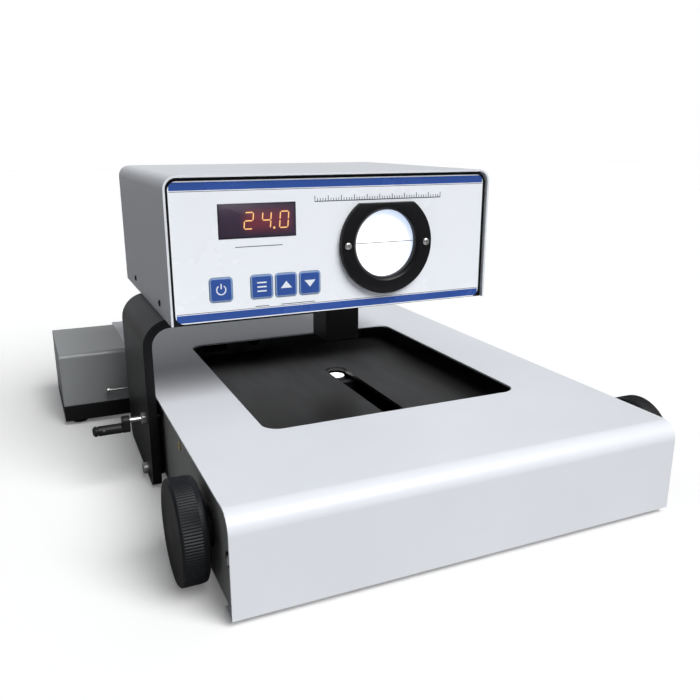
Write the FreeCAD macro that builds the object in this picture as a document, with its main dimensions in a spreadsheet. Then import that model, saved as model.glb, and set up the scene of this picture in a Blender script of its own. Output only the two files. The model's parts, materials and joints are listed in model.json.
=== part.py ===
import FreeCAD, Part
import math
import os
import re
import Sketcher
from FreeCAD import Placement, Rotation, Vector

# Bench-top digital zone reader, in millimetres, +Z up, +X to the user's right, +Y away from the user.
# Every place below is counted from the front left corner of the base on the table. CENTRE_X and CENTRE_Y
# move it all, so that the document's origin is under the middle of the whole reader.

SIZES = {
    "foot_height": (4, "rubber feet under the base and the power box"),
    "foot_radius": (8, "foot, at the floor plate"),
    "foot_inset": (24, "feet, in from the base's sides"),
    "foot_front": (30, "front feet"),
    "foot_rear": (425, "rear feet"),
    "base_width": (310, "base, left to right"),
    "base_depth": (453, "base, front to back"),
    "base_height": (62, "base, without its feet"),
    "sheet_gauge": (1.5, "folded covers"),
    "fold_radius": (12, "outer radius of the base's front fold"),
    "plate_gauge": (2, "side plates, floor and inner panels"),
    "side_inset": (2, "side plates, in from the cover's edge"),
    "lip_depth": (14, "return lip under the base's front"),
    "rear_inset": (6, "rear panel, in from the cover's edge"),
    "tab_length": (16, "screw tabs under the cover, along the base"),
    "tab_below": (6, "screw tabs, below their screws"),
    "front_tab_low": (26, "front screw tabs, lower edge above the table"),
    "front_tab_length": (17, "front screw tabs, front to back"),
    "front_tab_tall": (20, "front screw tabs"),
    "flange_height": (14, "upturned flanges of the floor plate"),
    "vent_left": (120, "floor vents, first column"),
    "vent_front": (350, "floor vents, first row"),
    "vent_step": (16, "floor vents, between columns"),
    "vent_row": (20, "floor vents, between rows"),
    "vent_radius": (4, "floor vents"),
    "well_left": (54, "dish well in the base cover"),
    "well_front": (101.5, "dish well, front edge"),
    "well_width": (200.5, "dish well"),
    "well_depth": (226, "dish well, front to back"),
    "well_radius": (12, "corners of the dish well"),
    "tray_top": (50, "top of the tray above the table"),
    "tray_gauge": (3.5, "tray plate"),
    "tray_left": (30, "tray, left edge"),
    "tray_width": (250, "tray"),
    "tray_front": (16, "tray, front edge at rest"),
    "tray_length": (327, "tray, front to back"),
    "notch_width": (17.4, "notch in the tray's rear right corner"),
    "notch_length": (64, "notch, front to back"),
    "slot_width": (17.7, "light slot in the tray"),
    "slot_front": (86, "light slot, front end"),
    "slot_rear": (260.5, "light slot, rounded rear end"),
    "rod_radius": (4, "guide rods"),
    "rod_height": (22, "guide rods above the table"),
    "rod_left": (62, "left guide rod"),
    "rod_right": (246, "right guide rod"),
    "rod_block_width": (20, "blocks that hold the guide rods"),
    "rod_block_length": (12, "blocks that hold the guide rods"),
    "rod_block_tall": (26, "blocks that hold the guide rods"),
    "running_gap": (0.05, "radial clearance of a running fit"),
    "block_width": (24, "bearing blocks under the tray"),
    "block_length": (30, "bearing blocks, along the rods"),
    "block_front": (122, "front pair of bearing blocks"),
    "block_rear": (296, "rear pair of bearing blocks"),
    "shaft_y": (51, "knob shaft, from the front"),
    "shaft_height": (35, "knob shaft above the table"),
    "shaft_radius": (4, "knob shaft"),
    "knob_radius": (31, "knobs"),
    "knob_depth": (17, "knobs, along the shaft"),
    "knob_gap": (3, "knob to the base's edge"),
    "knob_chamfer": (2.5, "rim of the knob's face"),
    "bush_radius": (7, "shaft bushes"),
    "bush_length": (10, "shaft bushes inside the side plates"),
    "washer_radius": (12, "outer flange of a shaft bush"),
    "washer_gauge": (3.5, "outer flange of a shaft bush"),
    "collar_radius": (8, "shaft collars and hubs"),
    "collar_length": (6, "shaft collars"),
    "gear_module": (1, "rack and pinion"),
    "pinion_teeth": (16, "pinion"),
    "pinion_face": (10, "pinion, along the shaft"),
    "pinion_left": (261, "pinion's left face"),
    "gear_addendum": (0.8, "stub teeth"),
    "gear_dedendum": (1.05, "stub teeth"),
    "gear_backlash": (0.2, "at the pitch line"),
    "rack_front": (6, "front end of the rack"),
    "rack_length": (57, "rack"),
    "rack_width": (8, "rack"),
    "disc_radius": (22, "encoder disc"),
    "disc_gauge": (1.2, "encoder disc"),
    "disc_left": (287, "encoder disc's left face"),
    "window_circle": (18.5, "windows of the encoder disc, to the shaft's axis"),
    "disc_window": (1.4, "windows of the encoder disc"),
    "axis_x": (168, "optical axis"),
    "axis_y": (252, "optical axis"),
    "holder_radius": (24, "condenser holder"),
    "holder_top": (45.5, "condenser holder above the table"),
    "condenser_radius": (17, "condenser lens"),
    "condenser_low": (36, "condenser lens, lower face"),
    "dome_radius": (30, "top of the condenser lens"),
    "socket_side": (22, "lamp socket"),
    "socket_tall": (8, "lamp socket"),
    "bulb_radius": (5, "lamp bulb"),
    "bulb_tall": (12, "lamp bulb, up to its round end"),
    "arm_outer": (-9.4, "arm's outer face"),
    "arm_gauge": (6.4, "arm"),
    "arm_front": (180, "arm, front edge"),
    "arm_depth": (102, "arm, front to back"),
    "arm_low": (1.2, "arm's foot above the table, at the front"),
    "arm_heel": (7, "arm's foot above the table, at the rear"),
    "arm_corner": (8, "corners of the arm's foot"),
    "arm_fold": (20, "outer radius of the arm's bend"),
    "arm_flange": (118, "arm's flange under the head"),
    "flange_corner": (10, "corners of the arm's flange"),
    "spacer_front": (197, "spacer between the arm and the base, front edge"),
    "spacer_low": (4.5, "spacer between the arm and the base, above the table"),
    "spacer_tall": (57.5, "spacer between the arm and the base"),
    "spacer_length": (46, "spacer between the arm and the base, front to back"),
    "backing_front": (204, "backing plate inside the base"),
    "backing_gauge": (4, "backing plate inside the base"),
    "backing_length": (42, "backing plate inside the base, front to back"),
    "backing_tall": (33, "backing plate inside the base"),
    "arm_bolt": (3, "arm bolts, radius"),
    "bolt_head": (4.4, "bolt heads, radius"),
    "bolt_cap": (3.6, "bolt heads, depth"),
    "blind_wall": (1.4, "arm left outside its blind bolt hole"),
    "head_left": (7, "head"),
    "head_width": (249, "head"),
    "head_front": (155, "head, front edge of its cover"),
    "head_depth": (201, "head, front to back"),
    "head_low": (128.6, "underside of the head"),
    "head_height": (99.2, "head"),
    "head_fold": (9, "top corners of the head cover"),
    "chassis_flange": (16, "side flanges of the head's bottom plate"),
    "panel_recess": (3, "front panel behind the cover's edge"),
    "overlay_gauge": (0.4, "printed overlay"),
    "screen_height": (175.8, "screen centre above the table"),
    "bezel_radius": (37, "screen bezel"),
    "bezel_gauge": (4.5, "screen bezel"),
    "bezel_flat": (30, "flat on the bezel's top, above its centre"),
    "bezel_screw": (32, "bezel screws, from the screen's centre"),
    "screen_radius": (24.7, "clear opening of the screen"),
    "glass_radius": (28, "ground glass"),
    "window_left": (42.5, "display window"),
    "window_width": (55.6, "display window"),
    "window_low": (185, "display window, lower edge"),
    "window_height": (23.6, "display window"),
    "digit_pitch": (12.7, "display digits"),
    "board_gap": (8, "front panel to the display board"),
    "key_width": (16.2, "keys"),
    "key_height": (17, "keys"),
    "key_low": (142.3, "keys, lower edge"),
    "key_gap": (0.3, "clearance round a key"),
    "key_radius": (2.6, "corners of a key"),
    "key_proud": (0.6, "keys, in front of the overlay"),
    "lens_side": (30.5, "lens block"),
    "lens_low": (82, "underside of the lens block"),
    "barrel_radius": (12, "lens barrel"),
    "barrel_length": (40, "lens barrel"),
    "barrel_low": (85.5, "lens barrel at rest"),
    "lens_radius": (9.5, "objective lens"),
    "mirror_width": (60, "head mirror"),
    "mirror_length": (75, "head mirror"),
    "mirror_gauge": (3, "head mirror"),
    "box_left": (-59, "power box, outer face"),
    "box_front": (341, "power box"),
    "box_depth": (99, "power box"),
    "box_top": (66.5, "power box above the table"),
    "box_band": (19, "top of the power box's black base"),
    "box_fold": (4, "power box, top front fold"),
    "inlet_x": (-28, "power inlet"),
    "inlet_height": (38, "power inlet above the table"),
    "core_width": (36, "transformer core"),
    "core_length": (44, "transformer core"),
    "core_tall": (44, "transformer core"),
    "core_limb": (9, "limbs of the transformer core"),
    "core_left": (-48, "transformer core"),
    "core_front": (352, "transformer core"),
    "crank_y": (189, "crank shaft"),
    "crank_height": (54.5, "crank shaft above the table"),
    "crank_radius": (1.9, "crank shaft"),
    "crank_inner": (14, "inner end of the crank shaft"),
    "crank_throw": (5, "crank handle below the shaft"),
    "crank_face": (-27, "outer face of the crank arm"),
    "crank_gauge": (5.6, "crank arm"),
    "crank_eye": (3.8, "rounded ends of the crank arm"),
    "handle_end": (-47.3, "outer end of the crank handle"),
    "handle_radius": (3.7, "crank handle"),
    "nut_radius": (4.5, "crank nut, over its corners"),
    "nut_tall": (3.6, "crank nut"),
    "switch_x": (104, "mains switch on the rear panel"),
    "fuse_x": (144, "fuse cap on the rear panel"),
    "fuse_radius": (6, "fuse holder's body"),
    "switch_width": (22, "body of the mains switch"),
    "switch_tall": (19, "body of the mains switch"),
    "fitting_depth": (18, "switch and inlet, behind their flanges"),
    "rear_height": (38, "switch and fuse above the table"),
    "rocker_tilt": (7, "rocker, each side of level, in degrees"),
    "rear_slot_low": (37, "vent slots of the rear panel, lower ends"),
    "rear_slot_tall": (20, "vent slots of the rear panel"),
    "rear_slot_left": (172, "vent slots of the rear panel, first one"),
    "rear_slot_step": (8, "vent slots of the rear panel"),
    "slot_gap": (3, "width of a vent slot"),
    "head_slot_left": (60, "vent slots of the head's rear, first one"),
    "head_slot_step": (9, "vent slots of the head's rear"),
    "head_slot_low": (40, "vent slots of the head's rear, above its underside"),
    "head_slot_tall": (34, "vent slots of the head's rear"),
    "pin_reach": (22, "thumb pin on the power box's flange, out of the base's side"),
    "pin_height": (31, "thumb pin above the table"),
    "pin_radius": (1.4, "thumb pin"),
    "head_screw_front": (39, "front screws in the head's sides, from its front edge"),
    "head_screw_rear": (147, "rear screws in the head's sides, from its front edge"),
    "screw_radius": (1.5, "small screws"),
    "screw_head": (3.2, "small screws' heads"),
}

CENTRE_X = "(base_width + knob_gap + knob_depth + box_left) / 2"
CENTRE_Y = "base_depth / 2"
PANEL_Y = "head_front + panel_recess"
BOARD_Y = f"{PANEL_Y} + plate_gauge + board_gap"
TRAY_LOW = "tray_top - tray_gauge"
INNER_LEFT = "side_inset + plate_gauge"
INNER_RIGHT = "base_width - side_inset - plate_gauge"
COVER_LOW = "foot_height + base_height - sheet_gauge"
FLOOR_TOP = "foot_height + plate_gauge"
REAR_Y = "base_depth - rear_inset"
KEYS = {"power_key": 34.5, "mode_key": 63.6, "up_key": 81.6, "down_key": 99.6}

ALONG = {"x": Rotation(Vector(0, 1, 0), 90), "y": Rotation(Vector(1, 0, 0), -90), "z": Rotation()}
WORD = re.compile(r"[a-z][a-z_]*")

doc = FreeCAD.newDocument("zone_reader")
nodes = []


def bound(text):
    """The expression with each size's name written as a cell of the sheet."""
    return WORD.sub(lambda m: "Sizes." + m.group() if m.group() in SIZES else m.group(), str(text))


def fill_sheet():
    sheet = doc.addObject("Spreadsheet::Sheet", "Sizes")
    for row, (name, (value, note)) in enumerate(SIZES.items(), start=1):
        sheet.set(f"A{row}", name)
        sheet.set(f"B{row}", str(value))
        sheet.set(f"C{row}", note)
        sheet.setAlias(f"B{row}", name)
    doc.recompute()


def make_gauge():
    """An object with one number, which reads what an expression is worth."""
    gauge = doc.addObject("App::FeaturePython", "Gauge")
    gauge.addProperty("App::PropertyFloat", "Reading")
    return gauge


def worth(text):
    gauge.setExpression("Reading", bound(text))
    gauge.recompute()
    return gauge.Reading


def bind(thing, **sizes):
    for name, text in sizes.items():
        thing.setExpression(name, bound(text))


def place(thing, x, y, z, turn=None):
    if turn is not None:
        thing.Placement = Placement(Vector(), turn)
    thing.setExpression("Placement.Base.x", bound(f"{x} - {CENTRE_X}"))
    thing.setExpression("Placement.Base.y", bound(f"{y} - {CENTRE_Y}"))
    thing.setExpression("Placement.Base.z", bound(z))
    return thing


def block(name, x, y, z, wide, deep, tall):
    box = doc.addObject("Part::Box", name)
    bind(box, Length=wide, Width=deep, Height=tall)
    return place(box, x, y, z)


def rod(name, along, x, y, z, radius, length):
    cylinder = doc.addObject("Part::Cylinder", name)
    bind(cylinder, Radius=radius, Height=length)
    return place(cylinder, x, y, z, ALONG[along])


def cone(name, along, x, y, z, radius, end_radius, length):
    frustum = doc.addObject("Part::Cone", name)
    bind(frustum, Radius1=radius, Radius2=end_radius, Height=length)
    return place(frustum, x, y, z, ALONG[along])


def ball(name, x, y, z, radius):
    sphere = doc.addObject("Part::Sphere", name)
    bind(sphere, Radius=radius)
    return place(sphere, x, y, z)


def join(name, *pieces):
    fuse = doc.addObject("Part::MultiFuse", name)
    fuse.Shapes = list(pieces)
    return fuse


def group(name, *pieces):
    """Separate solids that share one file."""
    compound = doc.addObject("Part::Compound", name)
    compound.Links = list(pieces)
    return compound


def cut(name, base, *tools):
    result = doc.addObject("Part::Cut", name)
    result.Base = base
    result.Tool = tools[0] if len(tools) == 1 else join(name + "_tools", *tools)
    return result


def common(name, base, tool):
    result = doc.addObject("Part::Common", name)
    result.Base = base
    result.Tool = tool
    return result


def tube(name, along, x, y, z, radius, bore, length):
    outer = rod(name + "_outer", along, x, y, z, radius, length)
    inner = rod(name + "_bore", along, x, y, z, bore, length)
    return cut(name, outer, inner)


def rounded(name, base, radius, along, chosen):
    """Fillet of the straight edges along one axis whose middle is chosen."""
    doc.recompute()
    shift = Vector(worth(CENTRE_X), worth(CENTRE_Y), 0)
    size = worth(radius)
    edges = []
    for number, edge in enumerate(base.Shape.Edges, start=1):
        straight = edge.Curve.TypeId == "Part::GeomLine"
        if straight and abs(getattr(edge.tangentAt(edge.FirstParameter), along)) > 0.99:
            if chosen(edge.CenterOfMass + shift):
                edges.append((number, size, size))
    fillet = doc.addObject("Part::Fillet", name)
    fillet.Base = base
    fillet.Edges = edges
    return fillet


def outline(body, plane, corners):
    """A closed sketch whose every corner is held by two bound distances from the origin."""
    sketch = body.newObject("Sketcher::SketchObject", body.Name + "_outline")
    support = [feature for feature in body.Origin.OriginFeatures if feature.Role == plane]
    sketch.AttachmentSupport = (support[0], "")
    sketch.MapMode = "FlatFace"
    points = [Vector(worth(across), worth(up), 0) for across, up in corners]
    for start, end in zip(points, points[1:] + points[:1]):
        sketch.addGeometry(Part.LineSegment(start, end), False)
    sides = len(points)
    for side in range(sides):
        sketch.addConstraint(Sketcher.Constraint("Coincident", side, 2, (side + 1) % sides, 1))
    for side, (across, up) in enumerate(corners):
        for kind, text, value in (("DistanceX", across, points[side].x), ("DistanceY", up, points[side].y)):
            held = sketch.addConstraint(Sketcher.Constraint(kind, -1, 1, side, 1, value))
            sketch.setExpression(f"Constraints[{held}]", bound(text))
    return sketch


def turned(name, along, x, y, z, corners):
    """A body turned about its own axis; each corner is (radius, distance along the axis)."""
    body = doc.addObject("PartDesign::Body", name)
    sketch = outline(body, "XZ_Plane", corners)
    revolution = body.newObject("PartDesign::Revolution", name + "_turn")
    revolution.Profile = sketch
    revolution.ReferenceAxis = (sketch, ["V_Axis"])
    revolution.Angle = 360
    return place(body, x, y, z, ALONG[along])


def plate(name, plane, x, y, z, corners, thickness):
    """A body padded from an outline on one of its planes."""
    body = doc.addObject("PartDesign::Body", name)
    sketch = outline(body, plane, corners)
    pad = body.newObject("PartDesign::Pad", name + "_pad")
    pad.Profile = sketch
    pad.setExpression("Length", bound(thickness))
    return place(body, x, y, z, Rotation())


def node(label, thing):
    """Name a finished sub-part; the label is also its file's name."""
    thing.Label = label
    nodes.append(thing)
    return thing


def screw(name, along, x, y, z, head_depth, reach, way=1):
    """A pan head and a shank; x, y, z is the face that the head sits on, way is where the shank points."""
    back = {"x": (f"{x} - ({head_depth})", y, z), "y": (x, f"{y} - ({head_depth})", z)}[along]
    ahead = {"x": (f"{x} - ({reach})", y, z), "y": (x, f"{y} - ({reach})", z)}[along]
    seat = (x, y, z)
    if way > 0:
        head = rod(name + "_head", along, *back, "screw_head", head_depth)
        shank = rod(name + "_shank", along, *seat, "screw_radius", reach)
    else:
        head = rod(name + "_head", along, *seat, "screw_head", head_depth)
        shank = rod(name + "_shank", along, *ahead, "screw_radius", reach)
    return join(name, head, shank)


# ---------------------------------------------------------------- base

SIDE_SCREWS = (("front", "10", "35.5"), ("middle", "127", "54.5"), ("rear", "424", "58"))


def make_base_cover():
    """Folded top and front with a lip under the front, the dish well and the screw tabs."""
    width, height = "base_width", "base_height"
    outer = rounded(
        "cover_outer",
        block("cover_block", 0, 0, "foot_height", width, "base_depth", height),
        "fold_radius", "x", lambda p: p.y < 1 and p.z > 40)
    inner = rounded(
        "cover_inner",
        block("cover_hollow", -1, "sheet_gauge", "foot_height + sheet_gauge",
              "base_width + 2", "base_depth", "base_height - 2 * sheet_gauge"),
        "fold_radius - sheet_gauge", "x", lambda p: p.y < 3 and p.z > 40)
    under = block("cover_under", -1, "lip_depth", "foot_height - 1",
                  "base_width + 2", "base_depth", "sheet_gauge + 2")
    well = rounded(
        "well",
        block("well_block", "well_left", "well_front", COVER_LOW + " - 1",
              "well_width", "well_depth", "sheet_gauge + 2"),
        "well_radius", "z", lambda p: True)
    shell = cut("cover_shell", outer, inner, under, well)
    tabs = [shell]
    holes = []
    for side, start in (("left", INNER_LEFT), ("right", INNER_RIGHT + " - plate_gauge")):
        tabs.append(block(f"tab_front_{side}", start, "sheet_gauge / 2", "front_tab_low",
                          "plate_gauge", "front_tab_length", "front_tab_tall"))
        for name, y, z in SIDE_SCREWS[1:]:
            tabs.append(block(f"tab_{name}_{side}", start, f"{y} - tab_length / 2", f"{z} - tab_below",
                              "plate_gauge", "tab_length", f"{COVER_LOW} + sheet_gauge / 2 - {z} + tab_below"))
        for name, y, z in SIDE_SCREWS:
            holes.append(rod(f"tab_hole_{name}_{side}", "x", f"{start} - 1", y, z,
                             "screw_radius", "plate_gauge + 2"))
    node("base_cover", cut("base_cover", join("cover_tabbed", *tabs), *holes))


def make_side(side, start):
    """A side plate under the cover's edge, pierced for the knob shaft and the screws."""
    blank = rounded(
        f"side_blank_{side}",
        block(f"side_block_{side}", start, "sheet_gauge", "foot_height + sheet_gauge",
              "plate_gauge", "base_depth - 2 * sheet_gauge", "base_height - 2 * sheet_gauge"),
        "fold_radius", "x", lambda p: p.y < 3 and p.z > 40)
    holes = [rod(f"side_bush_{side}", "x", f"{start} - 1", "shaft_y", "shaft_height",
                 "bush_radius", "plate_gauge + 2")]
    for name, y, z in SIDE_SCREWS:
        holes.append(rod(f"side_hole_{name}_{side}", "x", f"{start} - 1", y, z,
                         "screw_radius", "plate_gauge + 2"))
    if side == "left":
        for name, spot in (("low", LOW_ARM_BOLT), ("high", HIGH_ARM_BOLT)):
            holes.append(bolt_hole(f"side_arm_{name}_hole", f"{start} - 1", "plate_gauge + 2", spot))
        holes.append(rod("side_crank_hole", "x", f"{start} - 1", "crank_y", "crank_height",
                         "crank_radius + 1", "plate_gauge + 2"))
        for number, (y, z) in enumerate(BOX_SCREWS):
            holes.append(rod(f"side_box_hole_{number}", "x", f"{start} - 1", y, z,
                             "screw_radius", "plate_gauge + 2"))
    node(f"base_{side}_side", cut(f"base_{side}_side", blank, *holes))


def make_base_floor():
    """Floor plate with upturned flanges at both sides."""
    tall = "plate_gauge + flange_height"
    width = f"{INNER_RIGHT} - ({INNER_LEFT})"
    length = f"{REAR_Y} - lip_depth"
    blank = block("floor_blank", INNER_LEFT, "lip_depth", "foot_height", width, length, tall)
    hollow = block("floor_hollow", f"{INNER_LEFT} + plate_gauge", 0, FLOOR_TOP,
                   f"{width} - 2 * plate_gauge", "base_depth", tall)
    vents = [rod(f"floor_vent_{number}", "z", f"vent_left + {number % 7} * vent_step",
                 f"vent_front + {number // 7} * vent_row", "foot_height - 1", "vent_radius",
                 "plate_gauge + 2") for number in range(21)]
    bolt = bolt_hole("floor_arm_hole", f"{INNER_LEFT} - 1", "plate_gauge + 2", LOW_ARM_BOLT)
    node("base_floor", cut("base_floor", blank, hollow, bolt, *vents))


def make_rear_panel():
    width = f"{INNER_RIGHT} - ({INNER_LEFT})"
    blank = block("rear_blank", INNER_LEFT, f"{REAR_Y} - plate_gauge", FLOOR_TOP,
                  width, "plate_gauge", f"{COVER_LOW} - ({FLOOR_TOP})")
    clear = block("rear_clear_left", INNER_LEFT, f"{REAR_Y} - plate_gauge - 1", FLOOR_TOP,
                  "plate_gauge", "plate_gauge + 2", "flange_height")
    clear_right = block("rear_clear_right", f"{INNER_RIGHT} - plate_gauge", f"{REAR_Y} - plate_gauge - 1",
                        FLOOR_TOP, "plate_gauge", "plate_gauge + 2", "flange_height")
    tabs = [block(f"rear_clear_tab_{side}", start, f"{REAR_Y} - plate_gauge - 1", 52,
                  "plate_gauge", "plate_gauge + 2", 14)
            for side, start in (("left", INNER_LEFT), ("right", f"{INNER_RIGHT} - plate_gauge"))]
    switch = block("rear_switch_hole", "switch_x - switch_width / 2", f"{REAR_Y} - plate_gauge - 1",
                   "rear_height - switch_tall / 2", "switch_width", "plate_gauge + 2", "switch_tall")
    fuse = rod("rear_fuse_hole", "y", "fuse_x", f"{REAR_Y} - plate_gauge - 1", "rear_height",
               "fuse_radius", "plate_gauge + 2")
    slots = [block(f"rear_slot_{number}", f"rear_slot_left + {number} * rear_slot_step",
                   f"{REAR_Y} - plate_gauge - 1", "rear_slot_low", "slot_gap", "plate_gauge + 2",
                   "rear_slot_tall") for number in range(12)]
    node("rear_panel", cut("rear_panel", blank, clear, clear_right, *tabs, switch, fuse, *slots))


def make_feet():
    spots = [(x, y) for x in ("foot_inset", "base_width - foot_inset") for y in ("foot_front", "foot_rear")]
    spots += [("box_left + 13", "box_front + 13"), ("box_left + 13", f"{BOX_REAR} - 13")]
    feet = [cone(f"foot_{number}", "z", x, y, 0, "foot_radius - 1.5", "foot_radius", "foot_height")
            for number, (x, y) in enumerate(spots)]
    node("rubber_feet", group("rubber_feet", *feet))


def make_base_screws():
    screws = []
    for name, y, z in SIDE_SCREWS:
        screws.append(screw(f"screw_left_{name}", "x", "side_inset", y, z, 1.4, 7))
        screws.append(screw(f"screw_right_{name}", "x", "base_width - side_inset", y, z, 1.4, 7, -1))
    for number, (y, z) in enumerate(BOX_SCREWS):
        screws.append(screw(f"screw_box_{number}", "x", BOX_FLANGE_X, y, z, 1.4, 6.5))
    head = rod("thumb_head", "x", "-pin_reach", "box_front - 6", "pin_height", "2 * pin_radius", 3)
    shank = rod("thumb_shank", "x", "3 - pin_reach", "box_front - 6", "pin_height", "pin_radius",
                f"pin_reach - 3 + {BOX_FLANGE_X}")
    screws.append(join("box_thumb_pin", head, shank))
    node("base_screws", group("base_screws", *screws))


# ---------------------------------------------------------------- tray and its drive

def make_tray():
    plate_block = block("tray_block", "tray_left", "tray_front", TRAY_LOW,
                        "tray_width", "tray_length", "tray_gauge")
    notch = block("tray_notch", "tray_left + tray_width - notch_width",
                  "tray_front + tray_length - notch_length", f"{TRAY_LOW} - 1",
                  "notch_width + 1", "notch_length + 1", "tray_gauge + 2")
    slot = rounded(
        "slot",
        block("slot_block", "axis_x - slot_width / 2", "slot_front", f"{TRAY_LOW} - 1",
              "slot_width", "slot_rear - slot_front", "tray_gauge + 2"),
        "slot_width / 2 - 0.01", "z", lambda p: True)
    node("tray_plate", cut("tray_plate", plate_block, notch, slot))


def make_guides():
    rods = [rod(f"guide_rod_{name}", "y", name, "lip_depth + 2", "rod_height", "rod_radius",
                f"{REAR_Y} - plate_gauge - lip_depth - 6") for name in ("rod_left", "rod_right")]
    node("guide_rods", group("guide_rods", *rods))
    blocks = []
    for name in ("rod_left", "rod_right"):
        for end, y in (("front", "lip_depth + 4"), ("rear", f"{REAR_Y} - 24")):
            foot = block(f"rod_block_{name}_{end}_foot", f"{name} - rod_block_width / 2", y, FLOOR_TOP,
                         "rod_block_width", "rod_block_length", "rod_block_tall")
            bore = rod(f"rod_block_{name}_{end}_bore", "y", name, f"{y} - 1", "rod_height",
                       "rod_radius", "rod_block_length + 2")
            blocks.append(cut(f"rod_block_{name}_{end}", foot, bore))
    node("rod_blocks", group("rod_blocks", *blocks))


def make_bearing_blocks():
    """Four blocks under the tray that run on the guide rods."""
    blocks = []
    for name in ("rod_left", "rod_right"):
        for end in ("block_front", "block_rear"):
            body = block(f"{name}_{end}_body", f"{name} - block_width / 2", end, "rod_height - 8",
                         "block_width", "block_length", f"{TRAY_LOW} - rod_height + 8")
            bore = rod(f"{name}_{end}_bore", "y", name, f"{end} - 1", "rod_height",
                       "rod_radius + running_gap", "block_length + 2")
            blocks.append(cut(f"{name}_{end}", body, bore))
    node("bearing_blocks", group("bearing_blocks", *blocks))


def involute(angle):
    return math.tan(angle) - angle


def pinion_outline():
    """Involute stub teeth, one of them centred straight up, as points (y, z) round the shaft's axis."""
    teeth = int(worth("pinion_teeth"))
    pitch = worth("pinion_teeth * gear_module / 2")
    tip = pitch + worth("gear_addendum * gear_module")
    root = pitch - worth("gear_dedendum * gear_module")
    pressure = math.radians(20)
    base = pitch * math.cos(pressure)
    thickness = worth("gear_module * pi / 2 - gear_backlash / 2")
    half = thickness / (2 * pitch) + involute(pressure)
    steps = 4
    flank = [(root, half)]
    for step in range(steps + 1):
        radius = base + (tip - base) * step / steps
        flank.append((radius, half - involute(math.acos(min(1.0, base / radius)))))
    points = []
    for tooth in range(teeth):
        middle = math.pi / 2 - 2 * math.pi * tooth / teeth
        for radius, angle in flank:
            points.append((radius * math.cos(middle + angle), radius * math.sin(middle + angle)))
        for radius, angle in reversed(flank):
            points.append((radius * math.cos(middle - angle), radius * math.sin(middle - angle)))
    return points


def make_pinion():
    """The toothed wheel is extruded from its formula; its hub and bore are turned."""
    x = worth(f"pinion_left - {CENTRE_X}")
    y = worth(f"shaft_y - {CENTRE_Y}")
    z = worth("shaft_height")
    corners = [Vector(x, y + across, z + up) for across, up in pinion_outline()]
    wheel = Part.Face(Part.makePolygon(corners + corners[:1])).extrude(Vector(worth("pinion_face"), 0, 0))
    hub = Part.makeCylinder(worth("collar_radius - 2"), 5, Vector(x - 5, y, z), Vector(1, 0, 0))
    bore = Part.makeCylinder(worth("shaft_radius"), 40, Vector(x - 20, y, z), Vector(1, 0, 0))
    pinion = doc.addObject("Part::Feature", "pinion")
    pinion.Shape = wheel.fuse(hub).cut(bore).removeSplitter()
    node("pinion", pinion)


def make_rack():
    """Straight-sided teeth that face down; a space between two teeth stands over the shaft."""
    module = worth("gear_module")
    pitch_line = worth("shaft_height + pinion_teeth * gear_module / 2")
    tip = pitch_line - worth("gear_addendum * gear_module")
    root = pitch_line + worth("gear_dedendum * gear_module")
    back = worth(TRAY_LOW)
    front = worth("rack_front")
    rear = front + worth("rack_length")
    middle = worth("shaft_y")
    half = worth("gear_module * pi / 4 - gear_backlash / 4")
    slope = math.tan(math.radians(20))
    low_half = half - (pitch_line - tip) * slope
    high_half = half + (root - pitch_line) * slope
    step = math.pi * module
    first = math.ceil((front + 2 - middle) / step - 0.5)
    last = math.floor((rear - 2 - middle) / step - 0.5)
    points = [(front, back), (front, root)]
    for tooth in range(first, last + 1):
        centre = middle + (tooth + 0.5) * step
        points += [(centre - high_half, root), (centre - low_half, tip),
                   (centre + low_half, tip), (centre + high_half, root)]
    points += [(rear, root), (rear, back)]
    x = worth(f"pinion_left + (pinion_face - rack_width) / 2 - {CENTRE_X}")
    shift = worth(CENTRE_Y)
    corners = [Vector(x, y - shift, z) for y, z in points]
    rack = doc.addObject("Part::Feature", "rack")
    rack.Shape = Part.Face(Part.makePolygon(corners + corners[:1])).extrude(Vector(worth("rack_width"), 0, 0))
    node("rack", rack)


def make_shaft():
    left = "-knob_gap - knob_depth + 2.4"
    length = "base_width + 2 * knob_gap + 2 * knob_depth - 4.8"
    node("knob_shaft", rod("knob_shaft", "x", left, "shaft_y", "shaft_height", "shaft_radius", length))
    bushes = []
    collars = []
    reach = "bush_length + plate_gauge"
    for side, inner, way in (("left", "side_inset", 1), ("right", "base_width - side_inset", -1)):
        along = (lambda distance: f"{inner} + ({distance})") if way > 0 else \
            (lambda distance: f"{inner} - ({distance})")
        barrel_start = inner if way > 0 else along(reach)
        flange_start = along("-washer_gauge") if way > 0 else inner
        collar_start = along(f"{reach} + 0.4") if way > 0 else along(f"{reach} + 0.4 + collar_length")
        barrel = rod(f"bush_barrel_{side}", "x", barrel_start, "shaft_y", "shaft_height",
                     "bush_radius", reach)
        flange = rod(f"bush_flange_{side}", "x", flange_start, "shaft_y", "shaft_height",
                     "washer_radius", "washer_gauge")
        bore = rod(f"bush_bore_{side}", "x", f"{inner} - 30", "shaft_y", "shaft_height",
                   "shaft_radius + running_gap", 60)
        bushes.append(cut(f"bush_{side}", join(f"bush_solid_{side}", barrel, flange), bore))
        collars.append(tube(f"collar_{side}", "x", collar_start, "shaft_y", "shaft_height",
                            "collar_radius", "shaft_radius", "collar_length"))
    node("shaft_bushes", group("shaft_bushes", *bushes))
    node("shaft_collars", group("shaft_collars", *collars))


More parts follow.
